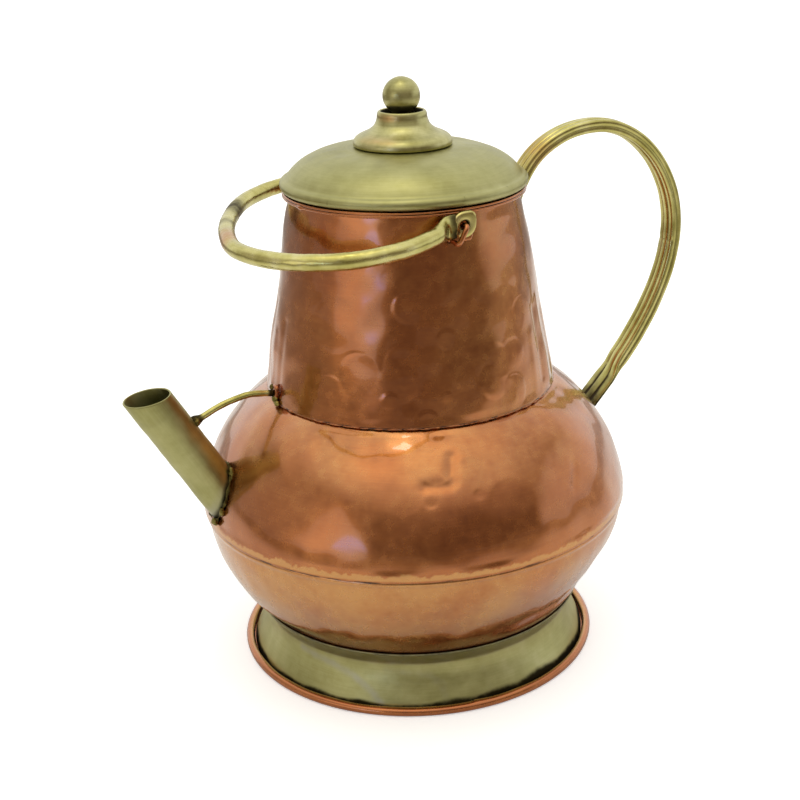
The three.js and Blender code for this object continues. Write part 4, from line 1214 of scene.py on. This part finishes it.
def worn_metal(name, tones, dirt_and_shade_colour, roughness, cloud_size, brush_pitch, brush_bump, mottle_bump, spread=0.4,
               stain=None, flush=None, **sockets):
    """tones are the colours from dark to light, and the colour after them is that of dirt and of painted
    shade in seams, grooves and joints. stain and flush, where given, are the colours for those two shades.
    Sizes are in mm."""
    material, tree, shader = new_material(name, 1.0, roughness, **sockets)

    def noise(at, size, detail, detail_roughness):
        """Noise whose clouds are about size mm across."""
        return add(tree, "TexNoise", {}, {"Vector": at, "Scale": 1 / (size * mm), "Detail": detail,
                                          "Roughness": detail_roughness})

    def ragged(shade, low, high):
        """A shade broken up by the mottle: 0 below low and 1 above high of shade * (0.5 + mottle)."""
        amount = add(tree, "Attribute", {"attribute_name": shade}, out="Fac")
        broken = worked_out(tree, "MULTIPLY", amount, worked_out(tree, "ADD", mottle, 0.5))
        return ranged(tree, broken, low, high)

    place = add(tree, "TexCoord", out="Object")
    grain = add(tree, "Attribute", {"attribute_name": "grain"}, out="Vector")
    cloud = noise(place, cloud_size, 5.0, 0.6)
    mottle = noise(place, mottle_size, 4.0, 0.55)
    brush = noise(grain, brush_pitch, 3.0, 0.7)
    tone = worked_out(tree, "MULTIPLY_ADD", mottle, mottle_weight, cloud)
    tone = worked_out(tree, "MULTIPLY_ADD", brush, brush_weight, tone)
    tone = worked_out(tree, "DIVIDE", tone, whole_weight)
    stops = [(0.5 + spread / whole_weight * (2 * i / (len(tones) - 1) - 1), code)
             for i, code in enumerate(tones)]
    colour = add(tree, "ValToRGB", {"stops": stops}, {"Fac": tone})
    for shade, paint, low, high, most in (("flush", flush, 0.15, 0.9, 0.9), ("stain", stain, 0.2, 0.9, 0.75)):
        if paint:
            share = worked_out(tree, "MULTIPLY", ragged(shade, low, high), most)
            colour = mixed(tree, share, colour, linear(paint))
    # Share of dirt and of painted shade in seams, grooves and joints
    dirt_and_shade = worked_out(tree, "MAXIMUM", ragged("groove", 0.2, 1.0), ragged("grime", 0.25, 0.95))
    colour = mixed(tree, dirt_and_shade, colour, linear(dirt_and_shade_colour))
    rough = ranged(tree, mottle, 0.3, 0.7, roughness - 0.04, roughness + 0.05, "LINEAR")
    rough = ranged(tree, dirt_and_shade, 0.0, 1.0, rough, dirt_and_shade_roughness, "LINEAR")
    scratches = add(tree, "Bump", {}, {"Height": brush, "Strength": 1.0, "Distance": brush_bump * mm})
    bumps = add(tree, "Bump", {}, {"Height": mottle, "Strength": 1.0, "Distance": mottle_bump * mm,
                                   "Normal": scratches})
    for socket, value in (("Base Color", colour), ("Roughness", rough), ("Normal", bumps)):
        tree.links.new(value, shader.inputs[socket])
    return material


# %% The metals of the jug
# Hammered copper sheet, rubbed along its turns with a fine abrasive and lacquered: warm, with a soft gloss
# Its flush colour, a golden tan, is painted on the foot's curl and the shoulder as a highlight, and on the
# lower bowl as a reflection of the table
copper = worn_metal("hammered_copper", ["#8F4F28", "#AA6332", "#BC743E", "#CC894D"], "#24130C", 0.25, 45, 0.8,
                    0.012, 0.014, spread=0.42, flush="#CF985A", Coat_Weight=0.75, Coat_Roughness=0.05)
# Spun brass that has dulled to olive: a broad soft gloss, with no polish left
brass = worn_metal("spun_brass", ["#8C8854", "#A29E67", "#B3AF79", "#C4C18F"], "#2B2614", 0.42, 30, 0.7,
                   0.006, 0.012, spread=0.36, stain="#A3A090")
# The same brass on the boss and the ball, which fingers have polished and warmed
handled_brass = worn_metal("handled_brass", ["#938D58", "#ABA56C", "#BEB880", "#D0C996"], "#2B2614",
                           0.34, 9, 0.7, 0.006, 0.02, spread=0.3, flush="#BD8850")
# Brass rod and bar, drawn through a die and bent by hand: the same metal with its scratches along its length
drawn_brass = worn_metal("drawn_brass", ["#948B48", "#B5AC62", "#CCC37C", "#DCD49A"], "#3A3018",
                         0.24, 18, 0.7, 0.012, 0.02, spread=0.28, flush="#B98546")
# Soft solder, grey and lumpy, browned by flux and lacquer. The bead under the neck is too thin to show its
# own colour, so it is dressed in the copper around it
solder = worn_metal("browned_solder", ["#4A3A1E", "#6C5E30", "#8E8446", "#A8995A"], "#1A100A", 0.42, 6, 1.2,
                    0.0, 0.08)
# Iron wire inside the curl, drawn and never polished
steel = worn_metal("drawn_iron_wire", ["#4E4A44", "#6A655D", "#7C766C", "#8A847A"], "#2A2018", 0.5, 8, 0.6,
                   0.004, 0.01)

dress(copper, base_disc, belly_lower, belly_upper, neck_shell, neck_rim, stay_tab, solder_neck, *ears)
dress(brass, foot_skirt, spout, lid_dome, lid_sleeve, cad["knob_washer"], cad["knob_nut"])
dress(handled_brass, lid_boss, knob)
dress(drawn_brass, stay, rear_handle, bail, cad["knob_stud"])
dress(solder, solder_spout, solder_stay, solder_handle)
dress(steel, cad["foot_wire"])

# %% [markdown]
# ## Light and ground
#
# Polished metal shows its surroundings more than itself. The jug stands on a white table in front of a
# white backdrop. A window shines far to the left, the ceiling is pale and glows above the window, and the
# room behind the camera is dark, which is what makes the neck so deep a brown. All of this but
# the table is a function of the direction, so the world's shader holds it. A small lamp overhead adds the
# sharpest glints.

# %% Floor
floor_half = 6.0
# The white paper ends, and the table goes on darker
paper_middle, paper_end, paper_fade = (0.25, 0.15, 0), 0.6, 1.2
floor_mesh = bpy.data.meshes.new("floor")
floor_corners = [(x * floor_half, y * floor_half, 0) for x, y in ((-1, -1), (1, -1), (1, 1), (-1, 1))]
floor_mesh.from_pydata(floor_corners, [], [(0, 1, 2, 3)])
floor = new_object("floor", floor_mesh)
floor_material, floor_tree, floor_shader = new_material("white_table", 0.0, 0.7, Emission_Color=(1, 1, 1, 1))
spot = add(floor_tree, "TexCoord", out="Object")
away = add(floor_tree, "VectorMath", {"operation": "DISTANCE"}, {0: spot, 1: paper_middle}, out="Value")
beyond = ranged(floor_tree, away, paper_end, paper_fade)
paper = mixed(floor_tree, beyond, linear("#F2F2F1"), linear("#8C867E"))
seen_floor = add(floor_tree, "LightPath", out="Is Camera Ray")
glow = worked_out(floor_tree, "MULTIPLY", seen_floor,
                  ranged(floor_tree, beyond, 0.0, 1.0, 0.45, 1.0, "LINEAR"))
floor_tree.links.new(paper, floor_shader.inputs["Base Color"])
floor_tree.links.new(glow, floor_shader.inputs["Emission Strength"])
dress(floor_material, floor)

# %% World
world = bpy.data.worlds.new("studio")
bpy.context.scene.world = world
world.use_nodes = True
tree = world.node_tree
direction = add(tree, "TexCoord", out="Generated")
height = add(tree, "SeparateXYZ", {}, {0: direction}, out="Z")
below_ceiling = ranged(tree, height, 0.5, 0.38)
above_sill = ranged(tree, height, 0.04, 0.11)


def aim(azimuth, elevation):
    """Direction at degrees from the front, to the right, and at degrees above level."""
    a, e = math.radians(azimuth), math.radians(elevation)
    return np.array([math.sin(a) * math.cos(e), -math.cos(a) * math.cos(e), math.sin(e)])


def towards(degrees, low, high, rise=0):
    """1 in the directions whose cosine to one direction is above high, 0 below low."""
    cosine = add(tree, "VectorMath", {"operation": "DOT_PRODUCT"},
                 {0: direction, 1: aim(degrees, rise)}, out="Value")
    return ranged(tree, cosine, low, high)


def wall(degrees, low, high):
    """The same for something that ends below the ceiling."""
    return worked_out(tree, "MULTIPLY", towards(degrees, low, high), below_ceiling)


camera_side = -24.3
room_tones = [(0.0, "#82766B"), (0.26, "#867B6F"), (0.45, "#BAB2A9"), (0.6, "#EAE6E0"), (0.75, "#FFFFFF")]
patches = [
    (wall(92, 0.64, 0.82), (0.92, 0.93, 0.95)),  # the white wall on the right
    (towards(camera_side + 180, 0.2, 0.6), (1.05, 1.05, 1.05)),  # the backdrop
    (wall(-100, 0.76, 0.86), (0.55, 0.51, 0.47)),  # a darker wall on the left
    (wall(-69, 0.915, 0.94), (1.25, 1.18, 1.1)),  # and a lit strip of it
    # the sky in the window
    (worked_out(tree, "MULTIPLY", wall(-57, 0.978, 0.99), above_sill), (1.3, 2.1, 4.8)),
    (towards(-50, 0.8, 0.99, rise=80), (1.6, 1.54, 1.3))]  # the glow on the ceiling
lit = add(tree, "ValToRGB", {"stops": room_tones}, {"Fac": height})
for strength, colour in patches:
    lit = mixed(tree, strength, lit, (*colour, 1))
seen = mixed(tree, add(tree, "LightPath", out="Is Camera Ray"), lit, (1, 1, 1, 1))
tree.links.new(seen, tree.nodes["Background"].inputs["Color"])

# %% Lamp
lamp_distance, lamp_size, lamp_power = 1.5, 0.14, 0.5
back = aim(-50, 84)
right = np.cross([0, 0, 1.0], back)
right /= np.linalg.norm(right)
lamp_data = bpy.data.lights.new("ceiling_lamp", "AREA")
lamp_data.size, lamp_data.energy = lamp_size, lamp_power
lamp = new_object("ceiling_lamp", lamp_data)
stand(lamp, right, np.cross(back, right), back, np.array([0, 0, 0.13]) + lamp_distance * back)
bpy.context.scene.view_settings.view_transform = "Standard"
